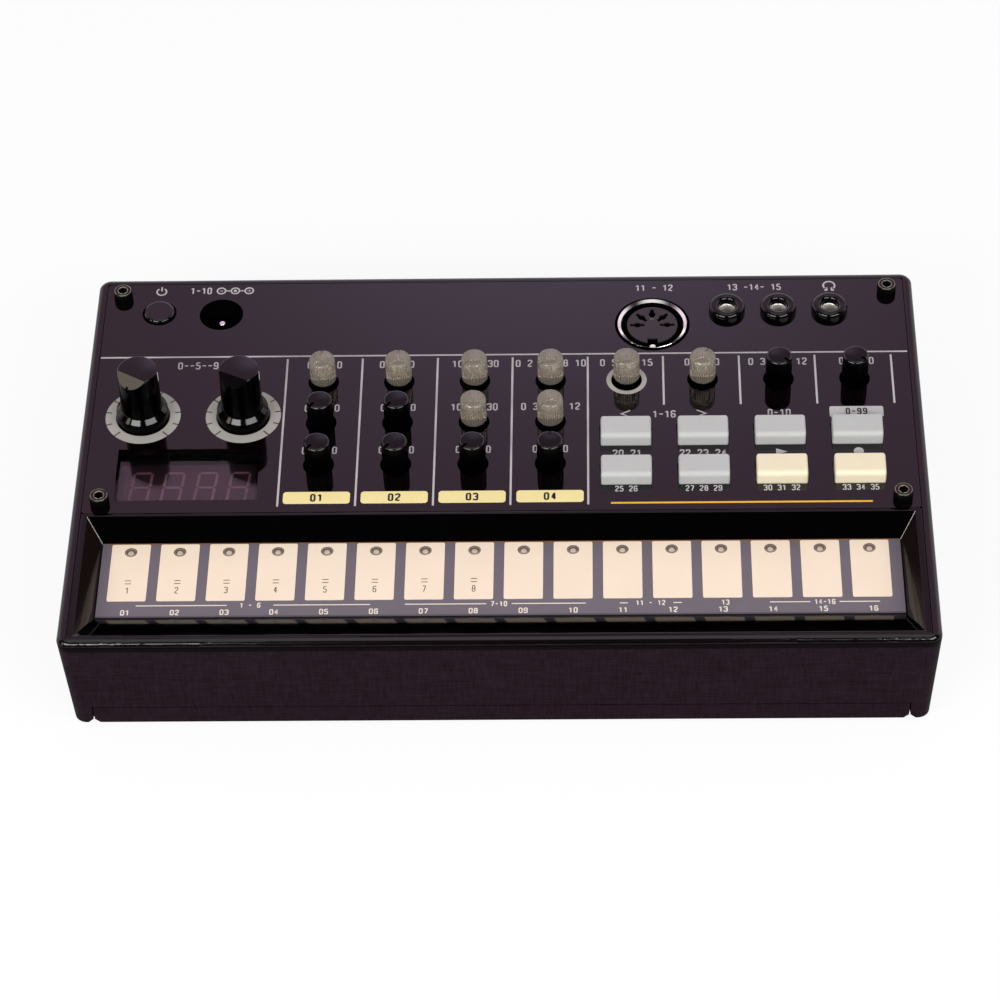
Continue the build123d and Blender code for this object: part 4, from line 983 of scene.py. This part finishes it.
def studioWorld():
    # what the gloss mirrors; the camera sees plain white, and bounced light a dim even grey
    look = roomLook
    world = bpy.data.worlds.new("studio")
    world.use_nodes = True
    tree = world.node_tree
    background = tree.nodes["Background"]
    background.inputs["Strength"].default_value = 1.0
    path = addNode(tree, "ShaderNodeLightPath").outputs
    coords = addNode(tree, "ShaderNodeTexCoord")
    split = addNode(tree, "ShaderNodeSeparateXYZ")
    tree.links.new(coords.outputs["Generated"], split.inputs["Vector"])
    x, y, z = (split.outputs[axis] for axis in "XYZ")

    def ramp(source, border):
        result = mapRange(tree, source, 0.0, 1.0, *look[border])
        result.node.interpolation_type = "SMOOTHSTEP"
        return result

    def join(operation, first, *others):
        for other in others:
            first = maths(tree, operation, first, other)
        return first

    # soft patch of light on the wall behind, a few degrees wide
    aside = maths(tree, "ABSOLUTE", join("ADD", join("DIVIDE", x, y), look["glowShift"]))
    patch = join("MULTIPLY", ramp(aside, "glowAside"), ramp(z, "glowHeight"), ramp(y, "glowDepth"))
    wall = ramp(y, "wallDepth")
    lowWhite = join("MULTIPLY", ramp(z, "lowHeight"), ramp(y, "lowDepth"), ramp(aside, "lowAside"))
    sides = join("MULTIPLY", ramp(maths(tree, "ABSOLUTE", x), "sidesAside"), ramp(y, "sidesDepth"), look["sides"])
    ceiling = join("MULTIPLY", ramp(z, "ceilingHeight"), look["ceiling"])
    plain = join("MAXIMUM", lowWhite, sides, ceiling)
    tinted = mixNode(tree, wall, look["dark"], look["wall"])
    lit = mixNode(tree, patch, tinted, look["glow"])
    seen = mixNode(tree, plain, lit, (look["white"],) * 3)
    # narrow window low on the left
    window = join("MULTIPLY", ramp(x, "windowRight"), ramp(x, "windowLeft"), ramp(y, "windowFront"),
                  ramp(y, "windowBack"))
    seen = mixNode(tree, window, seen, look["window"])
    mirror = join("MAXIMUM", path["Is Glossy Ray"], path["Is Transmission Ray"])
    bounce = mixNode(tree, mirror, (look["fill"],) * 3, seen)
    view = mixNode(tree, path["Is Camera Ray"], bounce, (1.0, 1.0, 1.0))
    tree.links.new(view, background.inputs["Color"])
    bpy.context.scene.world = world


def around(azimuth, elevation):
    # direction from the object, azimuth 0 straight in front
    a, e = radians(azimuth), radians(elevation)
    return Vector((sin(a) * cos(e), -cos(a) * cos(e), sin(e)))


def placed(name, data, place, right, up, back):
    item = addObject(name, data)
    item.matrix_world = Matrix.Translation(place) @ Matrix((right, up, back)).transposed().to_4x4()
    return item


lampLook = {"distance": 1.0, "height": 0.28,
            "left": {"azimuth": -32, "elevation": 34, "width": 0.56, "power": 5.2},
            "right": {"azimuth": 39, "elevation": 38, "width": 0.76, "power": 5.0}}


def softBoxes():
    look = lampLook
    for side in ("left", "right"):
        own = look[side]
        place = around(own["azimuth"], own["elevation"])
        data = bpy.data.lights.new("softbox_" + side, "AREA")
        data.shape = "RECTANGLE"
        data.size = own["width"]
        data.size_y = look["height"]
        data.energy = own["power"]
        across = Vector((0, 0, 1)).cross(place).normalized()
        placed("softbox_" + side, data, place * look["distance"], across, place.cross(across), place)


cameraLook = {"lens": 133.45, "distance": 831.83, "azimuth": 2.31, "elevation": 47.14, "roll": -2.11,
              "aim": (-0.05, -15.47, 30.7), "near": 0.05, "far": 20}


def placeCamera():
    look = cameraLook
    a, r = radians(look["azimuth"]), radians(look["roll"])
    back = around(look["azimuth"], look["elevation"])
    right = Vector((cos(a), sin(a), 0))
    up = back.cross(right)
    data = bpy.data.cameras.new("camera")
    data.lens = look["lens"]
    data.sensor_width = 36
    data.clip_start, data.clip_end = look["near"], look["far"]
    place = Vector(look["aim"]) * mm + back * look["distance"] * mm
    bpy.context.scene.camera = placed("camera", data, place, cos(r) * right + sin(r) * up,
                                      -sin(r) * right + cos(r) * up, back)


stageFloor()
studioWorld()
softBoxes()
placeCamera()
bpy.context.scene.view_settings.view_transform = "Standard"
print("stage, lamps and camera done")

low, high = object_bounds()
